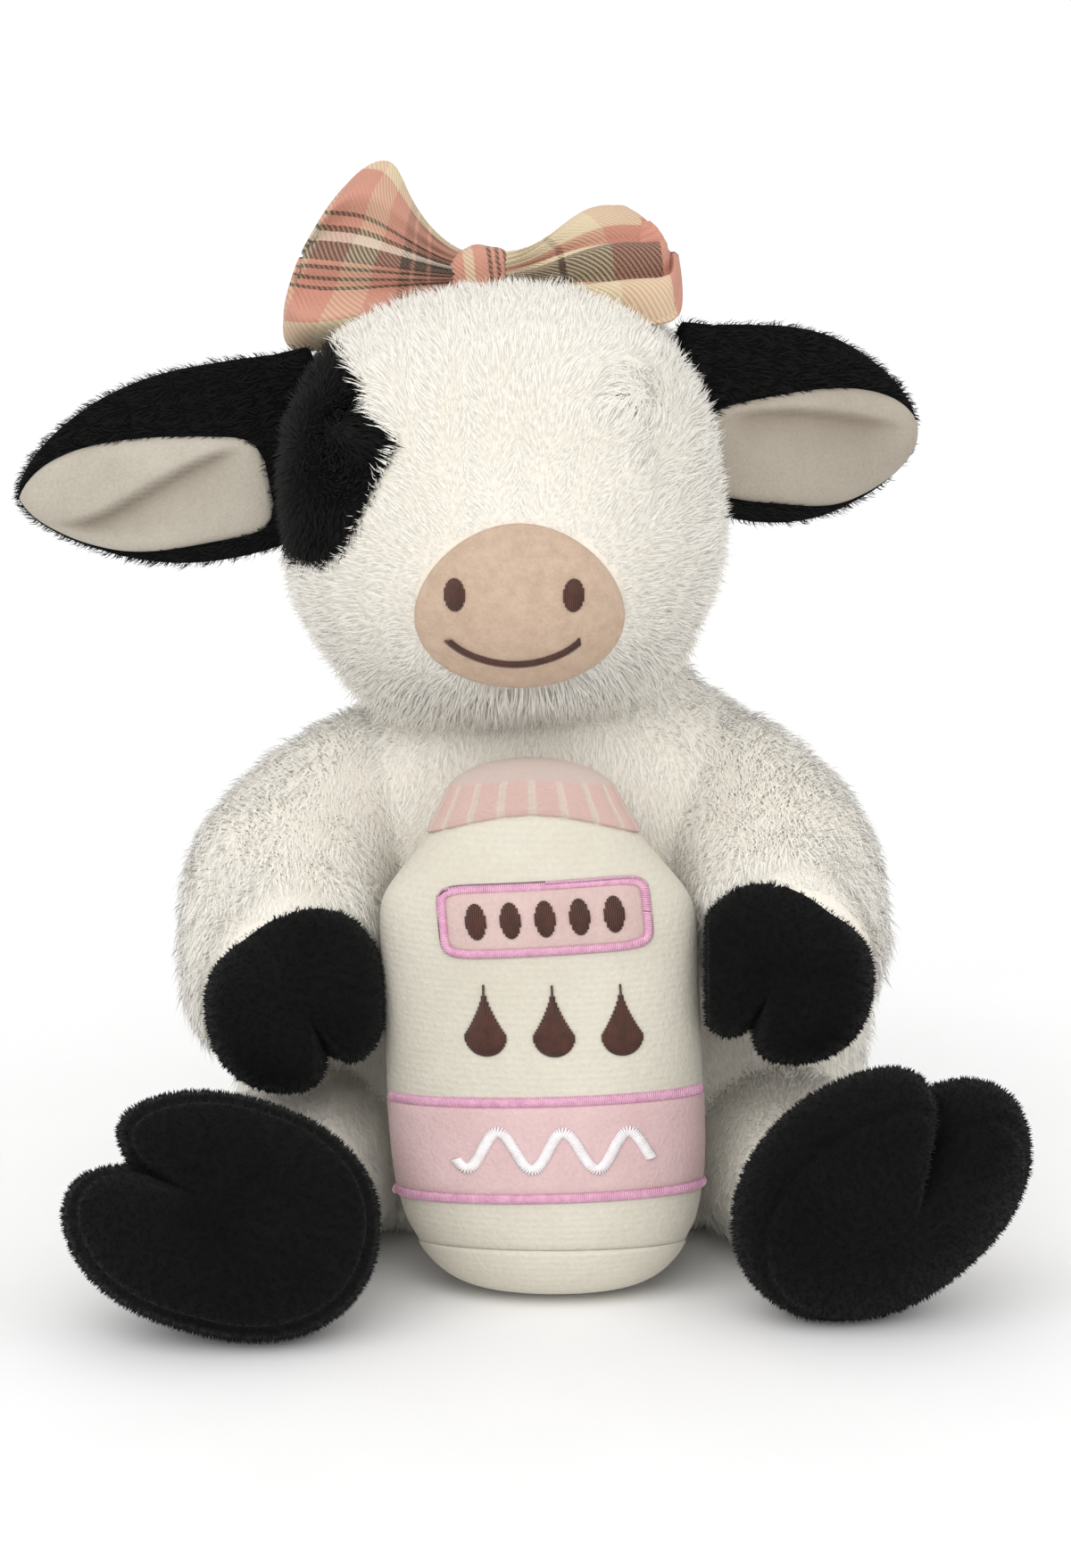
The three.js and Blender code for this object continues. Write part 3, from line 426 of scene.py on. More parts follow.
# The black pile's darker root is painted shade too.
black_pile = stranded("black plush pile", linear(7, 7, 7), linear(26, 26, 25), linear(36, 36, 35),
                      roughness=0.8, sheen=0.04, specular=0.1)
black_velour = brushed("black velour", linear(8, 8, 8), linear(17, 17, 17), patch=35.0, grain=1200.0,
                       depth=0.0002, roughness=0.9, sheen=0.05, specular=0.08)
# The nap's darker root is painted shade too.
black_nap = stranded("black velour nap", linear(7, 7, 7), linear(19, 19, 19), linear(30, 30, 30),
                     roughness=0.85, sheen=0.03, specular=0.08)
print("materials", len(bpy.data.materials))

# %% [markdown]
# ## The pile
#
# Plush is a knitted backing with a dense pile. Here each strand is a flat three-sided spike of two
# lengths that leans with the nap and bends at its middle; its ridge faces outwards, so the pile shades
# softly. Neighbouring tips draw together into locks: a smooth random field moves each tip down its slope,
# so tips meet where the field is low. The strands' normals are drawn towards the skin's, because real
# fibres pass light on and a lock shades as one form.

# %% Roots, locks and strands
STRANDS_PER_PIECE = 19000
SIDES = 3
DENSITY = 1.0
ROOT_DEPTH = 0.8
FACES_BACK = 0.3
BACK_WIDTH = 1.4
SOFTNESS = 0.95
FLOOR_CLEAR = 0.3
TINT_RANGE = (0.02, 0.95)


def roots_on(skin, per_mm2, rng):
    """Points spread evenly by area over a skin's triangles, with their normals."""
    points, triangles, normals = skin
    a, b, c = points[triangles].transpose(1, 0, 2)
    area = np.linalg.norm(np.cross(b - a, c - a), axis=1) / 2
    count = int(area.sum() * per_mm2 * DENSITY)
    pick = (np.arange(count) + rng.random(count)) / count * area.sum()
    which = np.searchsorted(np.cumsum(area), pick).clip(max=len(triangles) - 1)
    s = np.sqrt(rng.random(count))
    t = rng.random(count)
    weight = np.stack([1 - s, s * (1 - t), s * t], -1)[..., None]
    corners = triangles[which]
    return (points[corners] * weight).sum(1), unit((normals[corners] * weight).sum(1))


def lock_field(points, wavelength, seed):
    """Slope of a sum of twelve plane waves with random directions, all near one wavelength."""
    rng = np.random.default_rng(seed)
    waves = unit(rng.normal(size=(12, 3))) * rng.uniform(0.7, 1.4, (12, 1)) * 2 * np.pi / wavelength
    return np.cos(points @ waves.T + rng.uniform(0, 2 * np.pi, 12)) @ unit(waves) / np.sqrt(6)


def grow_pile(name, roots, normals, nap, body, slot, material, length=6.0, width=0.36, lean=1.0,
              lock_size=14.0, seed=1, nodes=()):
    """Strands from roots: each leans from the normal towards the nap, bends on, and joins its lock.

    The middle lies 0.55 of the length along a direction that leans by 0.6 of the lean, the tip 0.45 of
    it further along one that leans by 1.35 of the lean, moved by the lock field. The width is that of
    the base, and a little less at the middle. Where the toy faces backwards, every second strand is left
    out and the others are wider."""
    rng = np.random.default_rng(seed)
    backwards = normals[:, 1] > FACES_BACK
    keep = ~backwards | (np.arange(len(roots)) % 2 == 0)
    length = np.broadcast_to(length, len(roots))[keep]
    width = np.where(backwards, BACK_WIDTH, 1.0)[keep] * width
    roots, normals, nap = roots[keep], normals[keep], nap[keep]
    count = len(roots)
    along = unit(nap - (nap * normals).sum(-1, keepdims=True) * normals)
    along = unit(along + rng.normal(scale=0.18, size=(count, 3)))
    size = (length * rng.uniform(0.72, 1.12, count))[:, None]
    angle = (lean * rng.uniform(0.75, 1.2, count))[:, None]
    low = normals * np.cos(0.6 * angle) + along * np.sin(0.6 * angle)
    high = normals * np.cos(1.35 * angle) + along * np.sin(1.35 * angle)
    root = roots - normals * ROOT_DEPTH
    gather = lock_field(roots, lock_size, seed + 7)
    gather -= (gather * normals).sum(-1, keepdims=True) * normals
    middle = root + low * 0.55 * size + gather * 0.4
    tip = middle + high * 0.45 * size + gather
    side = unit(np.cross(low, normals + rng.normal(scale=0.2, size=(count, 3))))
    ridge = np.cross(side, unit(low))
    ring = np.stack([-side, ridge * 0.5, side], 1)
    wide = (width * rng.uniform(0.7, 1.2, count))[:, None, None] / 2
    corners = np.concatenate([root[:, None] + ring * wide, middle[:, None] + ring * wide * 0.85, tip[:, None]], 1)
    spread = np.concatenate([ring, ring, high[:, None]], 1) * (1 - SOFTNESS) + normals[:, None] * SOFTNESS
    tint = rng.uniform(*TINT_RANGE, count)
    strand_pieces(name, corners, unit(spread), tint, body, slot, material, nodes)


def strand_faces(corner_count):
    """Faces of one strand and the UV places of their corners.

    Every strand has a foot and a tip, and one with a middle has quads below the tip."""
    j = np.arange(SIDES)
    k = (j + 1) % SIDES
    top = corner_count - 1 - SIDES
    step = 0.004
    tips = np.stack([j + top, k + top, np.full(SIDES, corner_count - 1)], -1)
    tip_uv = np.stack([np.stack([j, j + 1, j + 0.5], -1) * step,
                       np.tile([0.5 if top else 0.02, 0.5 if top else 0.02, 0.98], (SIDES, 1))], -1)
    foot = j[None, ::-1]
    foot_uv = np.stack([foot * step, [[0.02, 0.02, 0.05]]], -1)
    if not top:
        return [tips, foot], [tip_uv, foot_uv]
    quads = np.stack([j, k, k + SIDES, j + SIDES], -1)
    quad_uv = np.stack([np.stack([j, j + 1, j + 1, j], -1) * step, np.tile([0.02, 0.02, 0.5, 0.5], (SIDES, 1))], -1)
    return [quads, tips, foot], [quad_uv, tip_uv, foot_uv]


def strand_pieces(name, corners, normals, tint, body, slot, material, nodes):
    """Meshes of strands, split so that no piece has too many triangles."""
    corners[..., 2] = np.maximum(corners[..., 2], FLOOR_CLEAR)
    shapes, places = strand_faces(corners.shape[1])
    parts = max(1, int(np.ceil(len(corners) / STRANDS_PER_PIECE)))
    for part, chosen in enumerate(np.array_split(np.arange(len(corners)), parts)):
        base = (np.arange(len(chosen)) * corners.shape[1])[:, None, None]
        faces = [(base + shape).reshape(-1, shape.shape[1]) for shape in shapes]
        shift = np.stack([tint[chosen], np.zeros(len(chosen))], -1)[:, None, None]
        uv = np.concatenate([(shift + shape).reshape(-1, 2) for shape in places])
        label = name if parts == 1 else f"{name}_{part + 1}"
        piece = mesh_object(label, corners[chosen].reshape(-1, 3), faces, uv, "OFBake")
        piece.data.normals_split_custom_set_from_vertices(normals[chosen].reshape(-1, 3))
        piece.data.materials.append(material)
        piece.visible_shadow = slot != "white_plush"
        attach(piece, body)
        if nodes and part == 0:
            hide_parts(*nodes)
    print(name, len(corners), "strands in", parts, "pieces")


# %% [markdown]
# ## Head
#
# The head is a stuffed ovoid with a snout. A dart below each eye pulls the cover in towards the cheek, and
# the pile closes over the eyes. The head leans on the neck, so it is worked out upright in its own
# frame and then turned; the frame's neck joint and the axis of an ear joint give that turn.

# %% Head form
SIGN = {"right": -1, "left": 1}
NECK = np.array(joints["head_turn"]["pos_m"]) / MM
HEAD_UP = np.array(joints["left_ear_flop"]["axis"])
HEAD_TURN = np.array([[HEAD_UP[2], 0, HEAD_UP[0]], [0, 1, 0], [-HEAD_UP[0], 0, HEAD_UP[2]]])
HEAD_CENTRE = np.array([-3.0, -10.0, 80.0])
HEAD_SIZE = np.array([122.0, 108.0, 118.0])
HEAD_FULLNESS = 2.45
SNOUT_LENGTH = 17.0
SNOUT_DROP = 20.0
SNOUT_SPREAD = 0.5
MUZZLE_AT = np.array([-HEAD_CENTRE[0], -SNOUT_DROP - 1.0])
SNOUT_AXIS = unit(np.array([MUZZLE_AT[0], -HEAD_SIZE[1] / 2, MUZZLE_AT[1]]))
SKIN_DEPTH = 1.6
EYE_AT = np.array([36.0, 26.0])
DART_END = np.array([53.0, -10.0])
DART_DEPTH = 3.2
DART_WIDTH = 4.0
PATCH = np.array([[-122, 30], [-13, 29], [-6, 24], [2, 16], [6, 7], [12, -2], [7, -9], [1, -19], [-6, -30],
                  [-13, -35], [-24, -34], [-122, -31]])
PATCH_BACK = 4.0
POLES = np.array([[0, 0, -1.0], [0, 0, 1.0]])


def head_to_toy(points):
    """Points of the upright head, leaned and set on the neck."""
    return points @ HEAD_TURN.T + NECK


def ovoid_reach(direction, size, fullness):
    """Distance from the middle of a full ovoid along a direction.

    The direction's parts over the half sizes are raised to a power and summed; the reach is one over the
    root of that sum."""
    return (np.abs(2 * direction / size) ** fullness).sum(-1) ** (-1 / fullness)


def head_reach(direction, grow):
    """Distance from the head's centre: a full ovoid, and a bell-shaped snout round its axis."""
    ovoid = ovoid_reach(direction, HEAD_SIZE, HEAD_FULLNESS)
    away = np.arccos(np.clip(direction @ SNOUT_AXIS, -1, 1)) / SNOUT_SPREAD
    return ovoid + SNOUT_LENGTH * np.exp(-away * away) + grow


def dart_depth(offset):
    """How far the dart below each eye pulls the cover in, by the place before the head's centre."""
    ahead = ease(-offset[..., 1], 5, 25)
    depth = 0
    for sign in SIGN.values():
        start = EYE_AT * [sign, 1]
        run = DART_END * [sign, 1] - start
        at = offset[..., [0, 2]] - start
        share = np.clip((at @ run) / (run @ run), 0, 1)
        apart = np.linalg.norm(at - share[..., None] * run, axis=-1)
        depth = depth + DART_DEPTH * bell(apart, DART_WIDTH) * ease(share, 0.15, 0.5) * (1 - 0.5 * share)
    return depth * ahead


def head_surface(direction, grow):
    """Points of the upright head along unit directions from its centre."""
    plain = direction * head_reach(direction, grow)[..., None]
    return HEAD_CENTRE + plain * (1 - dart_depth(plain) / np.linalg.norm(plain, axis=-1))[..., None]


def sphere_directions(rows, cols):
    """Unit directions in rings from the bottom to the top, without the poles."""
    rise = np.linspace(-np.pi / 2, np.pi / 2, rows + 2)[1:-1, None]
    turn = full_turn(cols)[None]
    return np.stack([np.cos(rise) * np.cos(turn), np.cos(rise) * np.sin(turn), np.sin(rise) + 0 * turn], -1)


def ball_directions(rows, cols):
    """The same directions in one list, with the poles at its end."""
    return np.concatenate([sphere_directions(rows, cols).reshape(-1, 3), POLES])


def closed_ball(points, rows, cols):
    """A closed form of points that lie along the directions of a ball."""
    return closed_rings(points[:-2].reshape(rows, cols, 3), points[-2], points[-1])


def head_form(rows=110, cols=180):
    """The head's skin as a closed form in the toy's frame."""
    rings = head_surface(sphere_directions(rows, cols), -SKIN_DEPTH)
    poles = head_surface(POLES, -SKIN_DEPTH)
    points, faces, uv = closed_rings(rings, poles[0], poles[1])
    return head_to_toy(points), faces, uv


def upright(points):
    """Points of the toy, taken back to the upright head and measured from its centre."""
    return (points - NECK) @ HEAD_TURN - HEAD_CENTRE


print("snout reaches", head_reach(SNOUT_AXIS, 0).round(1), "mm from the head's centre")

# %% Head skin and its patch


def in_outline(at, outline):
    """True where a point lies inside a closed outline, by counting the edges to its right."""
    inside = np.zeros(len(at), bool)
    for (x0, z0), (x1, z1) in zip(outline, np.roll(outline, -1, 0)):
        crosses = (z0 > at[:, 1]) != (z1 > at[:, 1])
        edge = x0 + (at[:, 1] - z0) * (x1 - x0) / (z1 - z0 if z1 != z0 else 1e-9)
        inside ^= crosses & (at[:, 0] < edge)
    return inside


def in_patch(points):
    """True on the black patch round the right eye."""
    offset = upright(points)
    return in_outline(offset[:, [0, 2]], PATCH + EYE_AT * [-1, 1]) & (offset[:, 1] < PATCH_BACK)


def head_material():
    """White backing, black where the patch attribute is 1."""
    material, tree, shader = new_material("head plush backing", roughness=0.95, specular=0.1)
    white = mottled(tree, *WHITE_BACKING).outputs["Color"]
    patch = node(tree, "ShaderNodeAttribute", attribute_name="patch")
    tree.links.new(mixed(tree, patch.outputs["Fac"], white, linear(14, 14, 15)), shader.inputs["Base Color"])
    return material


head = head_form()
head_piece = add_piece("head_skin", head, "head", head_material(),
                       ("head_cover", "head_stuffing"))
patch_mask = head_piece.data.attributes.new("patch", "FLOAT", "POINT")
patch_mask.data.foreach_set("value", in_patch(head[0]).astype(np.float32))
print("head", len(head[0]), "points")

# %% Roots of the head's pile
MUZZLE_SIZE = np.array([55.0, 45.0])
MUZZLE_TURN = HEAD_TURN[[0, 2]][:, [0, 2]].T
NECK_HIDDEN = 46.0
NEAR_EYE = 12.0
eyes = {side: np.mean(box_mm("eye_" + side), axis=0) for side in SIGN}
rng = np.random.default_rng(11)
roots, normals = roots_on(skin_of(head), 1.25, rng)
offset = upright(roots)
muzzle_place = ((offset[:, [0, 2]] - MUZZLE_AT) @ MUZZLE_TURN) / (MUZZLE_SIZE / 2 - 1.0)
on_muzzle = (np.linalg.norm(muzzle_place, axis=1) < 1) & (offset[:, 1] < 0)
in_neck = np.linalg.norm(roots - NECK, axis=1) < NECK_HIDDEN
keep = ~on_muzzle & ~in_neck
roots, normals = roots[keep], normals[keep]
for eye in eyes.values():
    by_eye = np.linalg.norm(roots - eye, axis=1) < NEAR_EYE
    roots = np.concatenate([roots, roots[by_eye] + rng.normal(scale=0.5, size=roots[by_eye].shape)])
    normals = np.concatenate([normals, normals[by_eye]])
offset = upright(roots)
patch = in_patch(roots + rng.normal(scale=0.7, size=roots.shape))
print("head roots", len(roots), "of them on the patch", patch.sum())

# %% [markdown]
# The nap runs away from the snout all over the face, hangs at the chin and lies backwards behind. By the
# patch's edge it is shorter, so that white doesn't fall over black, and by each eye it is longer and closes
# over it.

# %% Nap of the head
DOWN = np.array([0.0, 0.0, -1.0])
BACKWARDS = np.array([0, 1, -0.8])
SNOUT_INSIDE = 12.0
FACE_PILE = 4.4
CROWN_EXTRA = 1.6
CHIN_EXTRA = 6.0
EYE_EXTRA = 4.0
EYE_CLOSING = 11.0
EYE_BLACK = 9.0
PATCH_SHORTER = 1.2
PATCH_EDGE = 4.0
PATCH_EDGE_PILE = 3.4
snout_core = HEAD_CENTRE + SNOUT_AXIS * (head_reach(SNOUT_AXIS[None], 0) - SNOUT_INSIDE)
nap = roots - head_to_toy(snout_core[None])
pile = FACE_PILE + CROWN_EXTRA * ease(np.linalg.norm(offset + [0, 60, SNOUT_DROP], axis=1), 25, 60)
chin = ease(-offset[:, 2], 34, 48) * ease(-offset[:, 1], -5, 20)
pile += CHIN_EXTRA * chin
behind = ease(offset[:, 1], -20, 10)[:, None]
nap = unit(nap) * (1 - behind) + behind * BACKWARDS + 0.9 * chin[:, None] * DOWN
pile[~patch & in_patch(roots + PATCH_EDGE * unit(nap))] = PATCH_EDGE_PILE
nap[patch] = 1.5 * unit(roots[patch] - roots[patch].mean(0)) + 0.4 * DOWN
for side, eye in eyes.items():
    into_eye = eye - roots
    near = bell(np.linalg.norm(into_eye, axis=1), EYE_CLOSING)
    nap = unit(nap) * (1 - near[:, None]) + 2.5 * near[:, None] * unit(into_eye)
    pile += EYE_EXTRA * near
    if side == "right":
        patch |= np.linalg.norm(into_eye, axis=1) < EYE_BLACK
grow_pile("head_pile", roots[~patch], normals[~patch], nap[~patch], "head", "white_plush", white_pile,
          length=pile[~patch], lean=0.85, seed=21)
grow_pile("eye_patch_pile", roots[patch], normals[patch], nap[patch], "head", "black_plush", black_pile,
          length=pile[patch] - PATCH_SHORTER, lean=0.85, seed=22, nodes=("eye_patch",))

# %% [markdown]
# ## Torso and pocket
#
# The torso is a pear on a flat seat with a ball for a neck, under the head. The mouth of the pocket in its
# back is a recess in the same skin, so the skin stays closed. Its pile hangs; behind the bottle it is
# pressed flat, and under the flap, inside the sleeves and on the seat there is none.

# %% Torso form
TORSO_HALF = np.array([88.0, 50.0])
BELLY_HEIGHT = 45.0
SHOULDER_TOP = 154.0
NECK_RADIUS = 44.0
LINER_LOW, LINER_HIGH = box_mm("pocket_liner")
FLAP_LOW, FLAP_HIGH = box_mm("pocket_flap")


def torso_reach(z):
    """Share of the half widths at a height: a squarish curve below the belly line, a rounder one above it."""
    below = np.clip((BELLY_HEIGHT - z) / (BELLY_HEIGHT + 0.5), 0, 1)
    above = np.clip((z - BELLY_HEIGHT) / (SHOULDER_TOP - BELLY_HEIGHT), 0, 1)
    return np.where(z < BELLY_HEIGHT, (1 - below**4) ** (1 / 4), (1 - above**2.8) ** (1 / 2.8))


def torso_surface(turn, z, grow):
    """Points round the torso: the pear and the neck ball, joined by the tenth root of the sum of tenth powers.

    The left hip and the left of the neck bulge, because the toy sits and leans a little to that side."""
    ball = np.sqrt(np.clip(NECK_RADIUS**2 - (z - NECK[2]) ** 2, 0, None))
    wide, deep = (np.maximum(((half * torso_reach(z)) ** 10 + ball**10) ** 0.1 + grow, 0.5)
                  for half in TORSO_HALF)
    bulge = (6 * bell(z - 62, 30) + 8 * bell(z - 156, 13)) * np.clip(np.cos(turn), 0, 1) ** 3
    return np.stack([wide * np.cos(turn) + bulge, deep * np.sin(turn), z + 0 * turn], -1)


def torso_back(x, z, grow):
    """Y of the torso's back at a place seen from behind."""
    wide, deep = (half * torso_reach(z) + grow for half in TORSO_HALF)
    return deep * np.sqrt(np.clip(1 - (x / wide) ** 2, 0, 1))


def pocket_recess(points, snap=2.7):
    """Points inside the pocket's mouth go in to its end; those near its edges are set on them."""
    low, high = LINER_LOW - 0.4, LINER_HIGH + 0.4
    behind = points[:, 1] > 0
    close = ((points > low - snap) & (points < high + snap))[:, [0, 2]].all(1) & behind
    inside = ((points > low) & (points < high))[:, [0, 2]].all(1) & behind
    moved = points.copy()
    for axis in (0, 2):
        for edge in (low[axis], high[axis]):
            moved[close & (np.abs(points[:, axis] - edge) < snap), axis] = edge
    moved[inside, 1] = low[1]
    return moved


def torso_form(cols=220):
    """The torso's skin as a closed form, its rings closer together at the seat and at the neck's top."""
    seat = BELLY_HEIGHT - BELLY_HEIGHT * np.cos(np.linspace(0, np.pi / 2, 28))
    pear = np.linspace(BELLY_HEIGHT, 152, 52)[1:]
    neck = NECK[2] + NECK_RADIUS * np.sin(np.linspace(np.arcsin((155 - NECK[2]) / NECK_RADIUS), 1.5, 16))
    z = np.concatenate([seat, pear, neck])[:, None]
    rings = torso_surface(full_turn(cols)[None], z, -SKIN_DEPTH)
    points, faces, uv = closed_rings(rings, [0, 0, 0], [0, 0, NECK[2] + NECK_RADIUS])
    return pocket_recess(points), faces, uv


torso = torso_form()
add_piece("torso_skin", torso, "torso", white_skin, ("torso_cover", "torso_stuffing"))
print("torso", len(torso[0]), "points")

# %% [markdown]
# ## Limbs
#
# Sleeves and legs are round forms along a smooth curve through a few named points. The hooves are full
# cushions whose poles lie on the sole and the back: the cleft is a dent between the toes, and a seam
# runs round the sole, where the panels meet.

# %% Limb curves and forms
HAND_DROP = {"right": 7.0, "left": 0.0}
ELBOW_SPREAD = {"right": 65.0, "left": 60.0}
WRIST_SPREAD = {"right": 69.0, "left": 66.0}
CUFF_DROP = {"right": 13.0, "left": 8.0}
CUFF_FLARE = {"right": 4.0, "left": 1.5}
ARM_RADIUS = 26.0
LEG_RADIUS = 26.0
CURVE_STEPS = 40


def curve_through(knots, shares, steps=60):
    """Points and unit tangents of a Catmull-Rom curve through knots, at shares of its length."""
    ends = np.concatenate([[2 * knots[0] - knots[1]], knots, [2 * knots[-1] - knots[-2]]])
    t = np.linspace(0, 1, steps, endpoint=False)[:, None]
    runs = []
    for a, b, c, d in zip(ends, ends[1:], ends[2:], ends[3:]):
        runs.append(b + 0.5 * t * ((c - a) + t * ((2 * a - 5 * b + 4 * c - d) + t * (3 * (b - c) + d - a))))
    line = np.concatenate(runs + [knots[-1:]])
    length = lengths_along(line)
    slope = unit(np.gradient(line, length, axis=0))
    at = shares * length[-1]
    return places_along(line, length, at), unit(places_along(slope, length, at))


def limb_form(knots, radius_at, grow, drape=None, fullness=5, rows=54, cols=72):
    """A round limb: its radius falls to nothing at both ends by a full curve; drape adds an offset."""
    share = round_shares(rows)
    middle, tangent = curve_through(knots, share)
    across = unit(np.cross(tangent, [0, 0, 1.0]))
    up = np.cross(across, tangent)
    end = (1 - np.abs(2 * share - 1) ** fullness) ** (1 / fullness)
    radius = ((radius_at(share) + grow) * end)[:, None, None]
    turn = full_turn(cols)[None, :, None]
    outward = across[:, None] * np.cos(turn) + up[:, None] * np.sin(turn)
    rings = middle[:, None] + outward * radius + tangent[:, None] * (grow * (2 * share - 1))[:, None, None]
    if drape:
        rings = rings + drape(share[:, None], outward, end[:, None])
    rings[..., 2] = np.maximum(rings[..., 2], 0)
    return closed_rings(rings, knots[0] - tangent[0] * grow, knots[-1] + tangent[-1] * grow)


def sleeve_knots(side):
    """The sleeve's curve from inside the shoulder to the cuff."""
    s, drop = SIGN[side], HAND_DROP[side]
    wrist = np.array([s * WRIST_SPREAD[side], -58, 97 - drop])
    return np.array([[s * 28, 6, 130], [s * 47, -6, 122], [s * ELBOW_SPREAD[side], -26, 108 - drop / 2], wrist,
                     wrist + [-s * 3, -8, -7]])


def leg_knots(side):
    """The leg's curve from the hip to the foot."""
    hip = np.array(joints[side + "_leg_splay"]["pos_m"]) / MM
    ankle = np.array([FOOT_AT[side][0], FOOT_AT[side][1] + 8, hip[2]])
    return np.array([hip, (hip + ankle) / 2, ankle])


def cuff_drape(side):
    """The cuff hangs lower and wider on its outer side: an offset that grows towards the cuff."""
    def offset(share, outward, end):
        outer = ease(SIGN[side] * outward[..., 0], 0.1, 0.9) * end
        low = CUFF_DROP[side] * ease(share, 0.6, 0.95) * outer
        wide = CUFF_FLARE[side] * ease(share, 0.25, 0.8) * outer
        return np.stack([SIGN[side] * wide, 0 * wide, -low], -1)
    return offset


def sleeve_radius(share):
    """Radius along the sleeve: it swells at the elbow and flares to the cuff."""
    return ARM_RADIUS * (0.86 + 0.24 * np.sin(np.pi * share) ** 1.5 + 0.12 * share)


def thigh_radius(share):
    """Radius along the leg: it tapers to the foot."""
    return LEG_RADIUS * (1.08 - 0.22 * share)


print("sleeve length", lengths_along(sleeve_knots("right"))[-1].round(1), "mm")

# %% Hoof form
CLEFT_DEPTH = 0.27
CLEFT_SPREAD = 0.15
HEEL_CUT = 0.2
HEEL_SPREAD = 0.55
GROOVE_DEPTH = 1.3
GROOVE_WIDTH = 0.055
GROOVE_SWELL = 0.5
CREASE_DEPTH = 2.2
CREASE_WIDTH = 2.4


def axes_of(toes, sole):
    """A frame of three columns: along the toes, across them, and out of the sole."""
    x = unit(np.array(toes, float))
    y = unit(np.cross(sole, x))
    return np.stack([x, y, np.cross(x, y)], -1)


def hoof_form(size, fullness, bearing, axes, centre, long_toe=0.0, heel=None, seam=0.45, floor=False,
              rows=90, cols=128):
    """A full ovoid with a cleft between its toes and a seam round its sole.

    The reach falls by a bell curve of the bearing from the cleft, most at the rim; the toe on one side of
    the cleft is longer; the heel is cut off by a wider bell at its bearing; the seam is a narrow groove at
    one height between the middle and the sole, and a crease runs from the cleft over the sole."""
    size = np.array(size)
    d = ball_directions(rows, cols)
    reach = ovoid_reach(d, size, fullness)
    around = np.arctan2(d[:, 1], d[:, 0])
    away = around - bearing
    rim = ease(np.hypot(d[:, 0], d[:, 1]), 0.25, 0.9)
    toe = ease(np.abs(away), 0, 0.5) * ease(-np.abs(away), -1.9, -0.5)
    reach = reach * (1 + np.maximum(long_toe * np.sign(away), 0) * toe * rim)
    reach = reach * (1 - CLEFT_DEPTH * rim * np.exp(-np.abs(away / CLEFT_SPREAD) ** 1.5))
    if heel is not None:
        turned = around - heel
        cut = bell(np.arctan2(np.sin(turned), np.cos(turned)), HEEL_SPREAD)
        reach = reach * (1 - HEEL_CUT * rim * cut)
    local = d * reach[:, None]
    above_seam = 2 * local[:, 2] / size[2] - seam
    reach = reach - GROOVE_DEPTH * bell(above_seam, GROOVE_WIDTH) + GROOVE_SWELL * bell(above_seam, 0.2)
    off_cleft = local[:, 1] - np.tan(bearing) * local[:, 0]
    crease = CREASE_DEPTH * bell(off_cleft, CREASE_WIDTH) * ease(local[:, 0], 0.12 * size[0], 0.3 * size[0])
    local = d * (reach - crease * ease(d[:, 2], 0.1, 0.5))[:, None]
    points = local @ axes.T + centre
    if floor:
        points[:, 2] = np.maximum(points[:, 2] - points[:, 2].min() - 0.5, 0)
    return closed_ball(points, rows, cols)


def clear_of_bottle(form, sign, clear):
    """A hoof pressed flat where it would reach nearer to the middle than the bottle's side."""
    form[0][:, 0] = sign * np.maximum(sign * form[0][:, 0], clear)
    return form


# %% Hands and feet
HAND_SIZE = (47, 48, 35)
HAND_FULLNESS = 2.4
HAND_LONG_TOE = {"right": 0.09, "left": 0.05}
HAND_CLEAR = 43.4
FOOT_TOES = {"right": [-1, 0, 0.3], "left": [0.79, 0.07, 0.55]}
FOOT_SOLE = {"right": [0.1, -0.79, 0.29], "left": [0.37, -0.71, -0.09]}
FOOT_AT = {"right": [-83, -109, 0], "left": [86.5, -100, 0]}
FOOT_SIZE = {"right": (80, 62, 50), "left": (79, 68, 46)}
FOOT_FULLNESS = {"right": 2.2, "left": 2.0}
FOOT_CLEFT = {"right": -0.2, "left": 0.44}
FOOT_LONG_TOE = {"right": 0.08, "left": -0.13}
FOOT_CLEAR = 43.8


def hand_form(side):
    """A hand hoof, hanging from the cuff with its back to the front."""
    s = SIGN[side]
    centre = np.array([s * (WRIST_SPREAD[side] - 2), -73.5, 89 - HAND_DROP[side]])
    axes = axes_of([-s * 0.12, -0.25, -1], [-s * 0.1, -0.9, 0.25])
    hand = hoof_form(HAND_SIZE, HAND_FULLNESS, -s * np.pi / 8, axes, centre,
                     long_toe=HAND_LONG_TOE[side] * s, heel=s * 0.78 * np.pi, seam=-0.1)
    return clear_of_bottle(hand, s, HAND_CLEAR)


def foot_form(side):
    """A foot hoof, resting on the floor."""
    axes = axes_of(FOOT_TOES[side], FOOT_SOLE[side])
    foot = hoof_form(FOOT_SIZE[side], FOOT_FULLNESS[side], FOOT_CLEFT[side], axes, np.array(FOOT_AT[side]),
                     long_toe=FOOT_LONG_TOE[side], floor=True)
    return clear_of_bottle(foot, SIGN[side], FOOT_CLEAR)


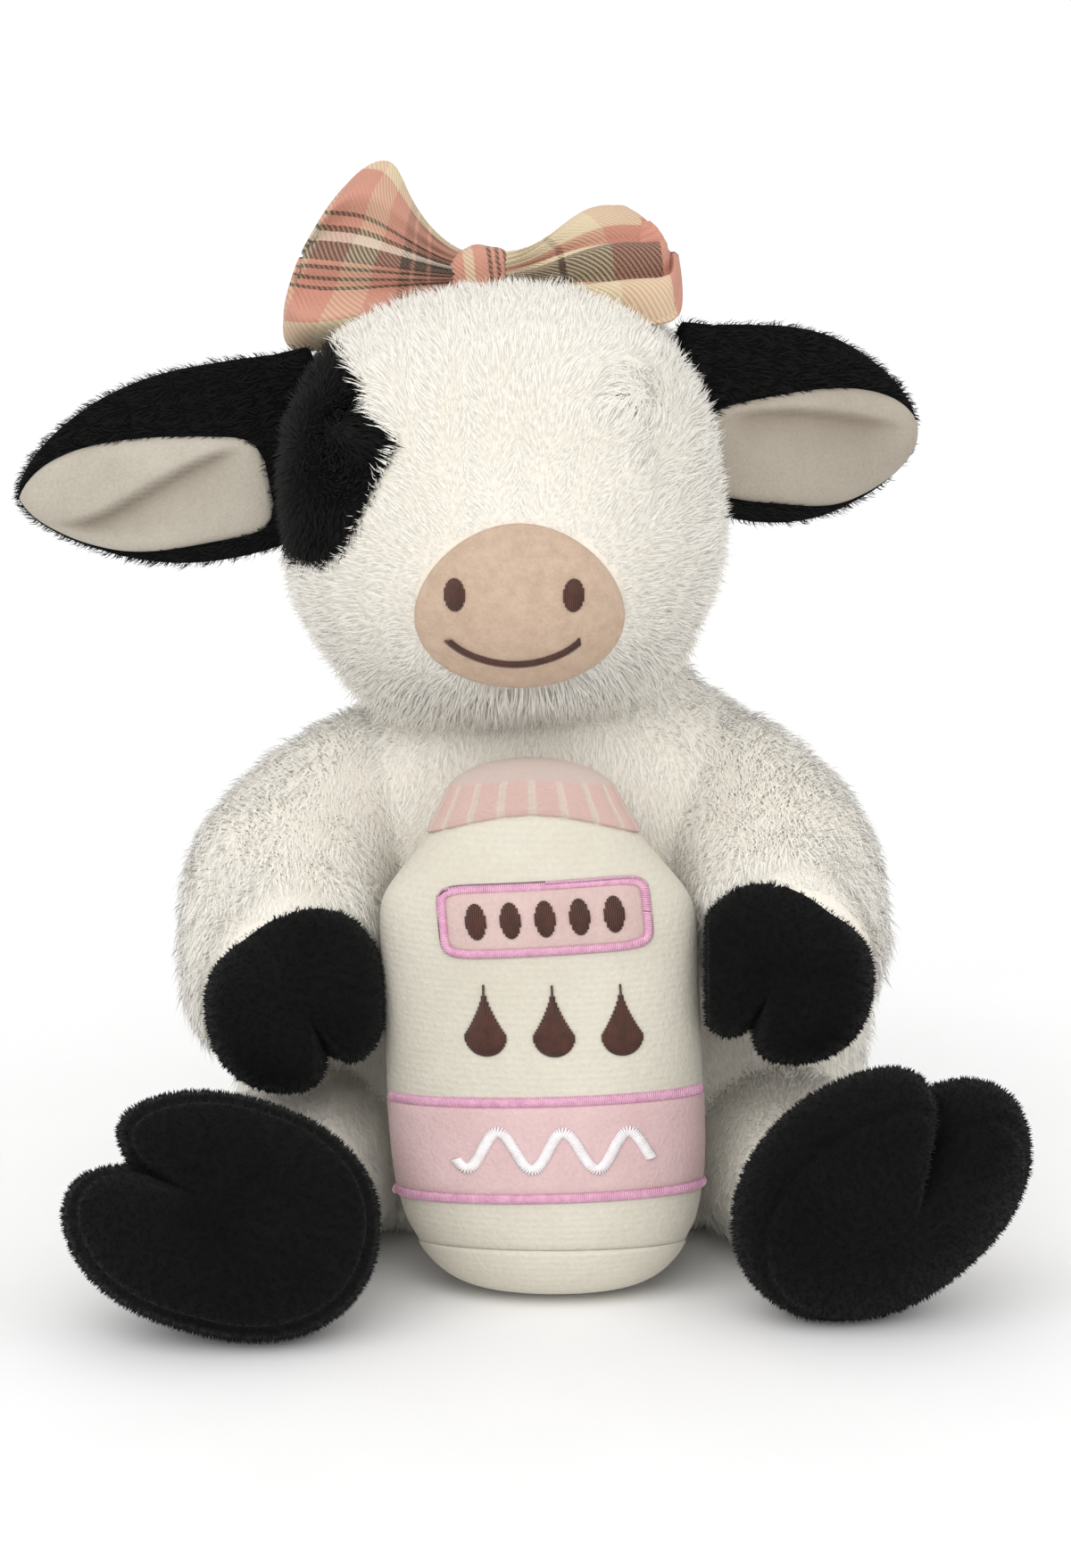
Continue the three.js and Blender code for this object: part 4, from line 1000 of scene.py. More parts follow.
sleeves = {side: limb_form(sleeve_knots(side), sleeve_radius, -SKIN_DEPTH, cuff_drape(side))
           for side in SIGN}
thighs = {side: limb_form(leg_knots(side), thigh_radius, -SKIN_DEPTH) for side in SIGN}
hands = {side: hand_form(side) for side in SIGN}
feet = {side: foot_form(side) for side in SIGN}
for side in SIGN:
    arm, leg = side + "_arm", side + "_leg"
    add_piece(side + "_sleeve", sleeves[side], arm, white_skin, (arm,))
    add_piece(side + "_thigh", thighs[side], leg, white_skin, (leg,))
    add_piece(side + "_hand", hands[side], arm, black_velour, (side + "_hand_hoof",))
    add_piece(side + "_foot", feet[side], leg, black_velour, (side + "_foot_hoof",))
print("limbs", len(sleeves) + len(thighs) + len(hands) + len(feet), "forms")

# %% [markdown]
# ## Pile of the body
#
# A root is left out where it lies well inside a neighbouring form. Each form gives its own test: a point
# is inside a limb when it is nearer to the limb's curve than the limb's radius.

# %% Where pile is hidden


def in_limb(points, knots, radius_at, depth):
    """True where points lie deeper than depth inside a limb."""
    share = np.linspace(0, 1, CURVE_STEPS)
    middle, _ = curve_through(knots, share)
    apart = np.linalg.norm(points[:, None] - middle[None], axis=2)
    nearest = apart.argmin(1)
    return apart[np.arange(len(points)), nearest] < radius_at(share)[nearest] - depth


def in_head(points, depth):
    """True where points lie deeper than depth inside the head."""
    offset = upright(points)
    return np.linalg.norm(offset, axis=1) < head_reach(unit(offset), -depth)


def in_any_limb(points, depth):
    """True where points lie deeper than depth inside a sleeve or a leg."""
    hidden = np.zeros(len(points), bool)
    for side in SIGN:
        hidden |= in_limb(points, sleeve_knots(side), sleeve_radius, depth)
        hidden |= in_limb(points, leg_knots(side), thigh_radius, depth)
    return hidden


def in_torso(points, depth):
    """True where points lie deeper than depth inside the torso."""
    wide, deep = (np.maximum(half * torso_reach(points[:, 2]) - depth, 0.1) for half in TORSO_HALF)
    return (points[:, 0] / wide) ** 2 + (points[:, 1] / deep) ** 2 < 1


def in_hoof(points, side, depth):
    """True where points lie deeper than depth inside a hand or a foot, by the round form of its own box."""
    hidden = np.zeros(len(points), bool)
    for form in (hands[side], feet[side]):
        low, high = form[0].min(0), form[0].max(0)
        hidden |= (((points - (low + high) / 2) / ((high - low) / 2 - depth)) ** 2).sum(1) < 1
    return hidden


def in_box(points, low, high):
    """True inside a box between its lowest and its highest corner."""
    return ((points > low) & (points < high)).all(1)


# %% Torso pile
SEAT_BARE = 2.5
POCKET_LOW, POCKET_HIGH = [-55, -10, 40], [55, 25, 100]
BELLY_LOW, BELLY_HIGH = [-37, -np.inf, -np.inf], [37, 0, 108]
HIDDEN_DEPTH = 5.0
rng = np.random.default_rng(12)
roots, normals = roots_on(skin_of(torso), 0.88, rng)
seat = roots[:, 2] < SEAT_BARE
under_flap = in_box(roots, [-FLAP_HIGH[0], 0, FLAP_LOW[2] + 1], [FLAP_HIGH[0], np.inf, FLAP_HIGH[2] - 1])
keep = ~seat & ~under_flap & ~in_box(roots, POCKET_LOW, POCKET_HIGH)
keep &= ~in_head(roots, HIDDEN_DEPTH) & ~in_any_limb(roots, HIDDEN_DEPTH)
roots, normals = roots[keep], normals[keep]
pressed = in_box(roots, BELLY_LOW, BELLY_HIGH)
grow_pile("torso_pile", roots[~pressed], normals[~pressed], DOWN + 0 * roots[~pressed], "torso", "white_plush",
          white_pile, seed=31)
thin = np.flatnonzero(pressed)[::3]
grow_pile("belly_pile", roots[thin], normals[thin], DOWN + 0 * roots[thin], "torso", "white_plush", white_pile,
          length=4.5, width=0.7, lean=1.15, seed=32)

# %% Limb pile


def limb_pile(side, part, form, knots, body, density, hidden, seed):
    """Pile of a sleeve or a leg, its nap hanging and a little along the limb.

    Where the limb lies inside the torso at rest, the pile is thinner, down to the hidden depth. Strands that
    would hang over the edge of a hoof are clipped short."""
    rng = np.random.default_rng(seed)
    roots, normals = roots_on(skin_of(form), 2 * density, rng)
    middle, tangent = curve_through(knots, np.linspace(0, 1, CURVE_STEPS))
    nearest = np.linalg.norm(roots[:, None] - middle[None], axis=2).argmin(1)
    end = ease(nearest / (CURVE_STEPS - 1), 0.72, 0.9)
    share = (0.6 + 0.4 * end) * np.where(in_torso(roots, HIDDEN_DEPTH), 0.55, 1)
    keep = ~in_torso(roots, hidden) & ~in_hoof(roots, side, 0) & (roots[:, 2] > SEAT_BARE)
    keep &= rng.random(len(roots)) < share
    roots, normals, nearest = roots[keep], normals[keep], nearest[keep]
    fringe = 6 + 1.5 * end[keep]
    nap = 0.45 * tangent[nearest] + DOWN
    over_hoof = in_hoof(roots + 0.8 * fringe[:, None] * unit(nap + 0.6 * normals), side, -1.5)
    fringe[over_hoof] *= 0.45
    grow_pile(f"{side}_{part}_pile", roots, normals, nap, body, "white_plush", white_pile, length=fringe, lean=1.12,
              seed=seed)


for number, side in enumerate(SIGN):
    limb_pile(side, "sleeve", sleeves[side], sleeve_knots(side), side + "_arm", 1.0, 27, 41 + number)
    limb_pile(side, "thigh", thighs[side], leg_knots(side), side + "_leg", 0.7, 9, 43 + number)

# %% Velour nap of the hooves
NAP_DENSITY = 0.8
NAP_LENGTH = 1.3
NAP_WIDTH = 0.6
SOLE_BARE = 0.8


def grow_nap(name, form, body, seed):
    """Short pile: one straight four-faced spike at each root, leaning a little at random."""
    rng = np.random.default_rng(seed)
    roots, normals = roots_on(skin_of(form), NAP_DENSITY, rng)
    keep = roots[:, 2] > SOLE_BARE
    roots, normals = roots[keep], normals[keep]
    out = unit(normals + rng.normal(scale=0.35, size=roots.shape))
    side = unit(np.cross(out, rng.normal(size=roots.shape)))
    other = np.cross(out, side)
    turn = np.arange(SIDES) * 2 * np.pi / SIDES
    ring = (side[:, None] * np.cos(turn)[:, None] + other[:, None] * np.sin(turn)[:, None]) * NAP_WIDTH / 2
    base = (roots - normals * 0.3)[:, None] + ring
    tip = roots + out * (NAP_LENGTH * rng.uniform(0.6, 1.2, len(roots)))[:, None]
    corners = np.concatenate([base, tip[:, None]], 1)
    spread = np.repeat(normals[:, None], SIDES + 1, 1)
    tint = rng.uniform(*TINT_RANGE, len(roots))
    strand_pieces(name, corners, spread, tint, body, "black_velour", black_nap, ())


for number, side in enumerate(SIGN):
    grow_nap(side + "_hand_nap", hands[side], side + "_arm", 51 + number)
    grow_nap(side + "_foot_nap", feet[side], side + "_leg", 53 + number)

# %% [markdown]
# ## Face
#
# The muzzle is a flat egg of velour, sewn round its edge and slightly puffed. The nostrils and the smile
# are satin stitch: threads laid side by side, each a thin tube that rises over the velour in its middle.

# %% Places on the face
MUZZLE_PUFF = 0.9
MUZZLE_BACK = -1.5
STITCH_SHIFT = -1.4


def head_front(x, z, lift):
    """Points on the upright head's front, x and z from its centre, lifted off the surface.

    The reach depends on the direction and the direction on the reach, so it is found in a few rounds."""
    x, z = np.broadcast_arrays(x, z)
    y = np.full(x.shape, -HEAD_SIZE[1] / 2)
    for _ in range(14):
        reach = head_reach(unit(np.stack([x, y, z], -1)), lift)
        y = -np.sqrt(np.maximum(reach**2 - x**2 - z**2, 1.0))
    return np.stack([x, y, z], -1) + HEAD_CENTRE


def thread_form(paths, radius=0.34, sides=5):
    """Closed tubes along many paths at once; paths is threads by points by three."""
    threads, steps = paths.shape[:2]
    along = unit(np.gradient(paths, axis=1))
    away = np.where(np.abs(along[..., 1:2]) < 0.9, [[[0, 1.0, 0]]], [[[0, 0, 1.0]]])
    side = unit(np.cross(along, away))
    other = np.cross(along, side)
    turn = np.arange(sides) * 2 * np.pi / sides
    ring = side[:, :, None] * np.cos(turn)[:, None] + other[:, :, None] * np.sin(turn)[:, None]
    points = (paths[:, :, None] + ring * radius).reshape(-1, 3)
    quads, u, v = grid_quads(steps, sides, True)
    base = (np.arange(threads) * steps * sides)[:, None, None]
    cap = np.arange(sides)
    caps = np.stack([cap[::-1], (steps - 1) * sides + cap])
    uv = np.concatenate([np.tile(np.stack([u, v], -1).reshape(-1, 2), (threads, 1)),
                         np.tile(np.stack([np.cos(turn), np.sin(turn)], -1) * 0.1, (2 * threads, 1))])
    return points, [(base + quads).reshape(-1, 4), (base + caps).reshape(-1, sides)], uv


def stitched_line(line, width, rise, place, pitch=0.55, slant=0.25):
    """Satin stitch along a line in a plane: stitches across it, lifted by rise in their middle.

    line is points by two and place maps plane points and a lift onto a surface."""
    length = lengths_along(line)
    at = np.arange(pitch / 2, length[-1], pitch)
    before, middle, ahead = (places_along(line, length, at + step) for step in (-0.4, 0, 0.4))
    along = unit(ahead - before)
    across = unit(np.stack([-along[:, 1], along[:, 0]], -1) + slant * along)
    share = np.linspace(-1, 1, 5)
    flat = middle[:, None] + across[:, None] * (share * width / 2)[None, :, None]
    return place(flat[..., 0], flat[..., 1], 0.1 + rise * (1 - share**2) + 0 * flat[..., 0])


def muzzle_front(x, z, lift):
    """Points on the upright head by a place on the level muzzle, turned against the head's lean."""
    place = np.stack(np.broadcast_arrays(x, z), -1) @ MUZZLE_TURN.T + MUZZLE_AT
    return head_front(place[..., 0], place[..., 1], lift)


def on_face(x, z, lift):
    """Points on the muzzle, measured from its middle, in the toy's frame."""
    return head_to_toy(muzzle_front(x + STITCH_SHIFT, z, lift + MUZZLE_PUFF))


def muzzle_form(front_rows=26, back_rows=10, cols=96):
    """An egg, wider below: polar rings over the front and back again behind."""
    share = np.concatenate([np.linspace(0.04, 1, front_rows), np.linspace(0.985, 0.1, back_rows)])[:, None]
    turn = full_turn(cols)[None]
    half = MUZZLE_SIZE / 2
    x = half[0] * share * np.cos(turn) * (1 - 0.15 * share * np.sin(turn))
    z = half[1] * share * np.sin(turn)
    front = np.arange(len(share))[:, None] < front_rows
    lift = np.where(front, MUZZLE_PUFF * np.sqrt(np.clip(1 - share**8, 0, 1)), MUZZLE_BACK) + 0 * turn
    rings = muzzle_front(x, z, lift)
    poles = muzzle_front(np.zeros(2), np.zeros(2), np.array([MUZZLE_PUFF, MUZZLE_BACK]))
    points, faces, uv = closed_rings(rings, poles[0], poles[1])
    return head_to_toy(points), faces, uv


# %% Muzzle, nostrils, smile and eyes
NOSTRIL_AT = np.array([15.6, 4.0])
NOSTRIL_SIZE = np.array([5.4, 8.6])
SMILE_HALF = 17.5
SMILE_DROP = -14.6
STITCH_RISE = 0.7


def nostril_threads(sign):
    """Upright threads that fill an oval."""
    x = np.linspace(-0.92, 0.92, 11)
    share = np.linspace(-1, 1, 7)
    tall = np.sqrt(1 - x**2) * NOSTRIL_SIZE[1] / 2
    z = tall[:, None] * share + NOSTRIL_AT[1]
    across = np.broadcast_to((x * NOSTRIL_SIZE[0] / 2 + sign * NOSTRIL_AT[0])[:, None], z.shape)
    return on_face(across, z, 0.1 + STITCH_RISE * (1 - share**2) * np.sqrt(1 - x**2)[:, None])


def smile_line():
    """A shallow arc whose ends turn up a little more."""
    x = np.linspace(-SMILE_HALF, SMILE_HALF, 80)
    rise = np.abs(x / SMILE_HALF)
    return np.stack([x, SMILE_DROP + 5.2 * rise**2 + 0.9 * rise**8], -1)


beige_velour = brushed("beige velour", linear(184, 159, 138), linear(201, 177, 156), patch=320.0, grain=1500.0,
                       depth=0.0002, **VELOUR)
brown_thread = brushed("brown thread", linear(58, 28, 17), linear(84, 44, 28), patch=300.0, grain=2500.0,
                       depth=0.0001, roughness=0.5, sheen=0.2, specular=0.4)
eye_plastic = brushed("eye plastic", linear(9, 8, 8), linear(12, 11, 11), depth=0.00001, roughness=0.3,
                      specular=0.25)
add_piece("muzzle_pad", muzzle_form(), "head", beige_velour, ("muzzle",))
for side, sign in SIGN.items():
    add_piece("nostril_threads_" + side, thread_form(nostril_threads(sign)), "head",
              brown_thread, ("nostril_" + side,))
smile = stitched_line(smile_line(), 2.0, STITCH_RISE, on_face, pitch=0.62, slant=0.7)
add_piece("smile_threads", thread_form(smile), "head", brown_thread, ("mouth_stitch",))
for side in SIGN:
    dress("eye_" + side, eye_plastic)
    dress("eye_washer_" + side, eye_plastic)
print("face done")

# %% [markdown]
# ## Ears
#
# An ear is a leaf of black plush, cupped towards the front, with a smooth pale lining on the lower part of
# its front; the upper part of the front is plush that rolls over from behind. Shade is painted into the
# lining's fold, and over all of the left lining.

# %% Ear form
EAR_LENGTH = {"right": 80.0, "left": 66.5}
EAR_HALF = 30.5
EAR_TIP = {"right": 0.52, "left": 0.42}
EAR_THICKNESS = 13.0
EAR_CUP = 5.0
EAR_RISE = {"right": 21.0, "left": 15.0}
EAR_SINK = 4.0
EAR_ROOT = -0.16
EAR_SWEEP = {"right": 8, "left": 22}
EAR_DROOP = {"right": 5, "left": 12}


def ear_half(t, side):
    """Half width along the ear, which bulges between root and tip and rounds off at both."""
    out = np.clip(t, 0, 1)
    full = EAR_HALF * (1 - out**2.4) ** EAR_TIP[side] * (0.86 + 0.5 * out * (1 - out))
    return full * np.minimum(1, np.sqrt((t - EAR_ROOT) / 0.03))


def ear_rise(t, across):
    """How much higher the upper edge runs by the root, where it meets the top of the head."""
    return 1.5 * ease(0.25 - t, 0, 0.35) * np.clip(across, 0, 1) ** 2


def ear_bend(t, across):
    """How far the ear's edges come forward of its middle."""
    return EAR_CUP * across**2 * np.sin(np.pi * np.minimum(t + 0.25, 1))


def ear_axes(side):
    """Columns: out along the ear, backwards, and up across it; and the ear's root, in the upright head."""
    s, sweep, droop = SIGN[side], np.radians(EAR_SWEEP[side]), np.radians(EAR_DROOP[side])
    out = unit(np.array([s * np.cos(sweep), np.sin(sweep), -np.tan(droop)]))
    back = unit(np.cross([0, 0, s], out))
    up = np.cross(out, back) * s
    towards = unit(np.array([s * HEAD_SIZE[0] / 2, 0, EAR_RISE[side]]))
    root = HEAD_CENTRE + towards * head_reach(towards[None], 0)[0]
    return np.stack([out, back, up], -1), root - out * EAR_SINK


def ear_to_toy(local, side):
    """Points of an ear in its own frame, taken to the toy's."""
    axes, root = ear_axes(side)
    return head_to_toy(local @ axes.T + root)


def ear_section(t, side):
    """Half the width and half the thickness of the ear's skin along it."""
    half = np.maximum(ear_half(t, side) - SKIN_DEPTH, 0.4)
    return half, (0.5 * EAR_THICKNESS - SKIN_DEPTH) * np.minimum(1, half / 8)


def ear_form(side, rows=60, cols=72):
    """The ear's plush as a closed leaf."""
    t = EAR_ROOT + (1 - EAR_ROOT) * round_shares(rows)[:, None]
    turn = full_turn(cols)[None]
    half, thick = ear_section(t, side)
    across = np.cos(turn)
    local = np.stack([EAR_LENGTH[side] * t + 0 * turn, thick * np.sin(turn) - ear_bend(t, across),
                      half * across + ear_rise(t, across)], -1)
    root, tip = ([EAR_LENGTH[side] * share, 0, 0] for share in (EAR_ROOT, 1))
    points, faces, uv = closed_rings(local, root, tip)
    return ear_to_toy(points, side), faces, uv


def ear_front(t, across, side):
    """Points on the front of the ear's leaf in its own frame."""
    half, thick = ear_section(t, side)
    bulge = thick * np.sqrt(np.clip(1 - across**2, 0, 1))
    return np.stack([EAR_LENGTH[side] * t, -bulge - ear_bend(t, across), half * across + ear_rise(t, across)], -1)


print("ear half width at its middle", ear_half(0.5, "right").round(1), "mm")

# %% Lining of an ear
LINING_START = {"right": 0.09, "left": 0.0}
LINING_END = {"right": 0.99, "left": 0.998}
LINING_BLUNT = {"right": 8.0, "left": 18.0}
# Painted shade over the whole lining, as a share of the darker colour: the left lining is drawn as if it lay in
# shade.
LINING_PAINTED_SHADE = {"right": 0.0, "left": 0.3}
LINING_PUFF = 5.2
FOLD_DEPTH = 4.4
FOLD_AT = {"right": (1.1, -1.05), "left": (0.96, -0.3)}


def lining_edges(t, side):
    """Upper and lower edge of the lining, as shares of the half width: it closes at the root and the tip."""
    place = (2 * t - LINING_END[side] - LINING_START[side]) / (LINING_END[side] - LINING_START[side])
    power = np.where(place < 0, 16.0, LINING_BLUNT[side])
    open_share = np.clip(1 - np.abs(place) ** power, 0, 1) ** 0.4
    top, low = 0.12 + 0.58 * t, -0.8 - 0.14 * ease(t, 0.3, 0.8)
    middle, half = (top + low) / 2, (top - low) / 2
    return middle + half * open_share, middle - half * open_share


def lining_form(side, rows=44, cols=26):
    """The lining: a thin pad on the ear's front with a fold along it.

    The fold drops sharply at its line and rises again gently below it; it fades out near the pad's edges.
    The share of the fold at each point is given back too, to paint shade into the fold."""
    start, stop = LINING_START[side], LINING_END[side]
    t = np.linspace(start + 0.005, stop - 0.003, rows)[:, None]
    top, low = lining_edges(t, side)
    share = np.linspace(0, 1, cols)[None]
    across = low + (top - low) * share
    grid = ear_front(t + 0 * share, across, side)
    along = (t - start) / (stop - start)
    puff = (np.clip(np.sin(np.pi * share), 0, 1) * np.clip(np.sin(np.pi * along), 0, 1)) ** 0.35
    start_share, slope = FOLD_AT[side]
    below = start_share + slope * t - share
    inner = ease(share, 0.03, 0.25) * ease(-share, -0.97, -0.8)
    inner = inner * ease(along, 0.02, 0.2) * ease(-along, -0.95, -0.7)
    fold = inner * ease(below, -0.04, 0.05) * np.exp(-np.maximum(below, 0) / 0.25)
    front, back = grid.copy(), grid.copy()
    front[..., 1] -= (LINING_PUFF - FOLD_DEPTH * fold) * puff - 0.3
    back[..., 1] += 1.2
    points, faces, uv = closed_pad(front, back)
    return (ear_to_toy(points, side), faces, uv), np.concatenate([fold.ravel(), 0 * fold.ravel()])


def ear_local(points, side):
    """Points of the toy in an ear's own frame."""
    axes, root = ear_axes(side)
    return ((points - NECK) @ HEAD_TURN - root) @ axes


# %% Ears and their pile
# The darker colour is painted shade, mixed in by the crease attribute: into the fold, and over the whole left
# lining.
ear_velour_painted_shade = brushed("ear velour", linear(174, 166, 152), linear(194, 187, 174), patch=40.0, grain=1200.0,
                     depth=0.0002, painted_shade_colour=linear(118, 104, 88), **VELOUR)


def add_ear(side, seed):
    """An ear's plush, lining and pile, with shade painted on the lining; the left ear's tip is bare a little further
    round the lining.
    """
    form, body = ear_form(side), side + "_ear"
    add_piece(body + "_plush", form, body, black_skin, (body + "_back",))
    lining, fold = lining_form(side)
    pad = add_piece(side + "_lining", lining, body, ear_velour_painted_shade, (body + "_lining",))
    # Painted shade: the lining is darker in its fold and, on the left ear, darker all over.
    shade = LINING_PAINTED_SHADE[side]
    crease = pad.data.attributes.new("crease", "FLOAT", "POINT")
    crease.data.foreach_set("value", (shade + (0.8 - shade) * fold).astype(np.float32))
    rng = np.random.default_rng(seed)
    roots, normals = roots_on(skin_of(form), 1.7, rng)
    local = ear_local(roots, side)
    t = np.clip(local[:, 0] / EAR_LENGTH[side], 0.01, 0.99)
    across = local[:, 2] / ear_section(t, side)[0]
    top, low = lining_edges(t, side)
    behind = local[:, 1] + ear_bend(t, across)
    lined = (behind < 0) & (across < top) & (across > low) & (t > LINING_START[side]) & (t < LINING_END[side])
    if side == "left":
        lined |= (behind < 3) & (across < top + 0.1) & (across > low - 0.1) & (t > 0.9)
    keep = ~lined & ~in_head(roots, 4)
    out = HEAD_TURN @ ear_axes(side)[0][:, 0]
    grow_pile(body + "_pile", roots[keep], normals[keep], out + 0 * roots[keep], body, "black_plush", black_pile,
              length=3.6, width=0.3, lean=0.9, lock_size=6.0, seed=seed)


add_ear("right", 61)
add_ear("left", 62)

# %% [markdown]
# ## Bow
#
# The bow is a wide strip of brushed plaid twill, folded into two loops and gathered under a flat knot. The
# strip is a thin shell: its bands run along the loops, so they draw together at the knot with the folds.
# The colours are a function of the strip's own UV map, along and across the cloth.

# %% Bow form
BOW_CENTRE = HEAD_CENTRE + [1, 4, HEAD_SIZE[2] / 2 + 2.5]
BOW_END = {"right": np.array([-47.5, 2, 10]), "left": np.array([50, 4, 0])}
BOW_EDGE = {"right": np.array([0.52, 0.1, 0.85]), "left": np.array([-0.03, 0.82, 0.56])}
BOW_WAIST = 11.0
BOW_WIDTH = 55.0
BOW_THICKNESS = 15.0
BOW_BLUNT = {"right": 14, "left": 40}
FOLD_RISE = 3.4
ROLL_RISE = 8
GATHER_RISE = 1.1
SLANT_OUT = 2
SHORTER_ABOVE = 7
LONGER_BELOW = 2.5
UV_ALONG = 140.0
UV_ACROSS = 70.0


def vertex_uv(faces, places):
    """UV corners of faces from one place for each vertex."""
    return np.concatenate([places[part.ravel()] for part in faces])


def bow_form(rows=130, cols=120):
    """Two loops on one curve through the knot: the width flares from the waist, and lengthwise folds run out.

    The thickness is a loop's swell times the sine of the angle round it, plus folds: on the right loop they
    follow the cosine of three half turns across the width, on the left one three rolls with creases between
    them, the size of a sine. Finer gathers run out from the knot. The left loop's end is cut on a slant: its
    upper part is shorter and its lower part a little longer, by smooth steps across the width."""
    share = round_shares(rows)
    half_way = {side: BOW_END[side] * [0.5, 0, 0.5] for side in SIGN}
    knots = BOW_CENTRE + np.array([BOW_END["right"], half_way["right"], [0, 0, 0], half_way["left"],
                                   BOW_END["left"]])
    middle, tangent = curve_through(knots, share)
    on_right = share[:, None] < 0.5
    from_knot = np.abs(2 * share - 1)
    out = np.minimum(1, from_knot * 1.15)
    flare = ease(out, 0, 1)[:, None]
    edge = unit((1 - flare) * [0, 0, 1] + flare * np.where(on_right, BOW_EDGE["right"], BOW_EDGE["left"]))
    through = unit(np.cross(tangent, edge))
    swell = 0.5 * BOW_THICKNESS * (0.5 + 0.5 * np.sin(np.pi * out))[:, None]
    blunt = np.where(share < 0.5, BOW_BLUNT["right"], BOW_BLUNT["left"])
    end = ((1 - from_knot**blunt) ** 0.5)[:, None]
    turn = full_turn(cols)[None]
    across = np.cos(turn)
    lower = across + 0.25 * (1 - across**2)
    rolls = np.where(on_right, FOLD_RISE * np.cos(3 * np.pi * across),
                     ROLL_RISE * np.abs(np.sin(1.5 * np.pi * (lower + 1))) - ROLL_RISE / 2)
    gathers = GATHER_RISE * (1 - flare) * ease(flare, 0, 0.25) * np.cos(9 * np.pi * across)
    wing = np.where(on_right, np.where(across > 0, 1.12, 1.0) * flare,
                    np.where(across > 0, 0.84 * flare**2.6, 0.9 * flare))
    half = BOW_WAIST / 2 + (BOW_WIDTH - BOW_WAIST) / 2 * wing
    rim = half * end * across * (1 + 0.03 * flare * np.sin(5 * np.pi * share[:, None]))
    deep = (swell * np.sin(turn) + (flare * rolls + gathers)) * end
    shorter = SHORTER_ABOVE * ease(across, 0.1, 0.6) - LONGER_BELOW * np.minimum(across, 0) ** 2
    slant = flare * np.where(on_right, 0, SLANT_OUT - shorter)
    rings = (middle[:, None] + edge[:, None] * rim[..., None] + through[:, None] * deep[..., None]
             + tangent[:, None] * slant[..., None])
    points, faces, _ = closed_rings(rings, knots[0], knots[-1])
    along = np.where(share < 0.5, -1, 1) * np.linalg.norm(middle - BOW_CENTRE, axis=1)
    places = np.stack([0.5 + (along[:, None] + 0 * across) / UV_ALONG,
                       0.5 + BOW_WIDTH / 2 * across * end / UV_ACROSS], -1).reshape(-1, 2)
    ends = [[0.5 - 54 / UV_ALONG, 0.5], [0.5 + 58 / UV_ALONG, 0.5]]
    return head_to_toy(points), faces, vertex_uv(faces, np.concatenate([places, ends]))


# %% Knot form
KNOT_SIZE = np.array([17.0, 15.0, 15.0])
KNOT_FULLNESS = 3
KNOT_FOLD = 8.5
KNOT_UV = 0.9


def knot_form(rows=60, cols=72):
    """A flat band round the waist: a full rounded box with a slight hollow between two lengthwise folds."""
    d = ball_directions(rows, cols)
    local = d * ovoid_reach(d, KNOT_SIZE, KNOT_FULLNESS)[:, None]
    local *= 1 + 0.05 * np.cos(local[:, :1] * 2 * np.pi / KNOT_FOLD)
    points, faces, _ = closed_ball(local, rows, cols)
    x, y, z = points.T
    places = np.stack([KNOT_UV + x / UV_ALONG + y * 0.0005, 0.5 + z / UV_ACROSS + y * 0.0005], -1)
    return head_to_toy(points + BOW_CENTRE), faces, vertex_uv(faces, places)


# %% Plaid cloth
PINK = linear(200, 139, 122)
CREAM = linear(220, 202, 170)
BROWN = linear(50, 31, 28)
GREY = linear(206, 192, 178)
LOOPS_MEET = 0.5
KNOT_FROM = 0.838
TWILL_RIB = 0.75


def bands(tree, value, stops):
    """A colour ramp with sharp bands: each stop holds from its place to the next."""
    ramp = node(tree, "ShaderNodeValToRGB")
    ramp.color_ramp.interpolation = "CONSTANT"
    while len(ramp.color_ramp.elements) < len(stops):
        ramp.color_ramp.elements.new(0.5)
    for element, (place, colour) in zip(ramp.color_ramp.elements, stops):
        element.position = place
        element.color = colour
    tree.links.new(value, ramp.inputs["Fac"])
    return ramp.outputs["Color"]


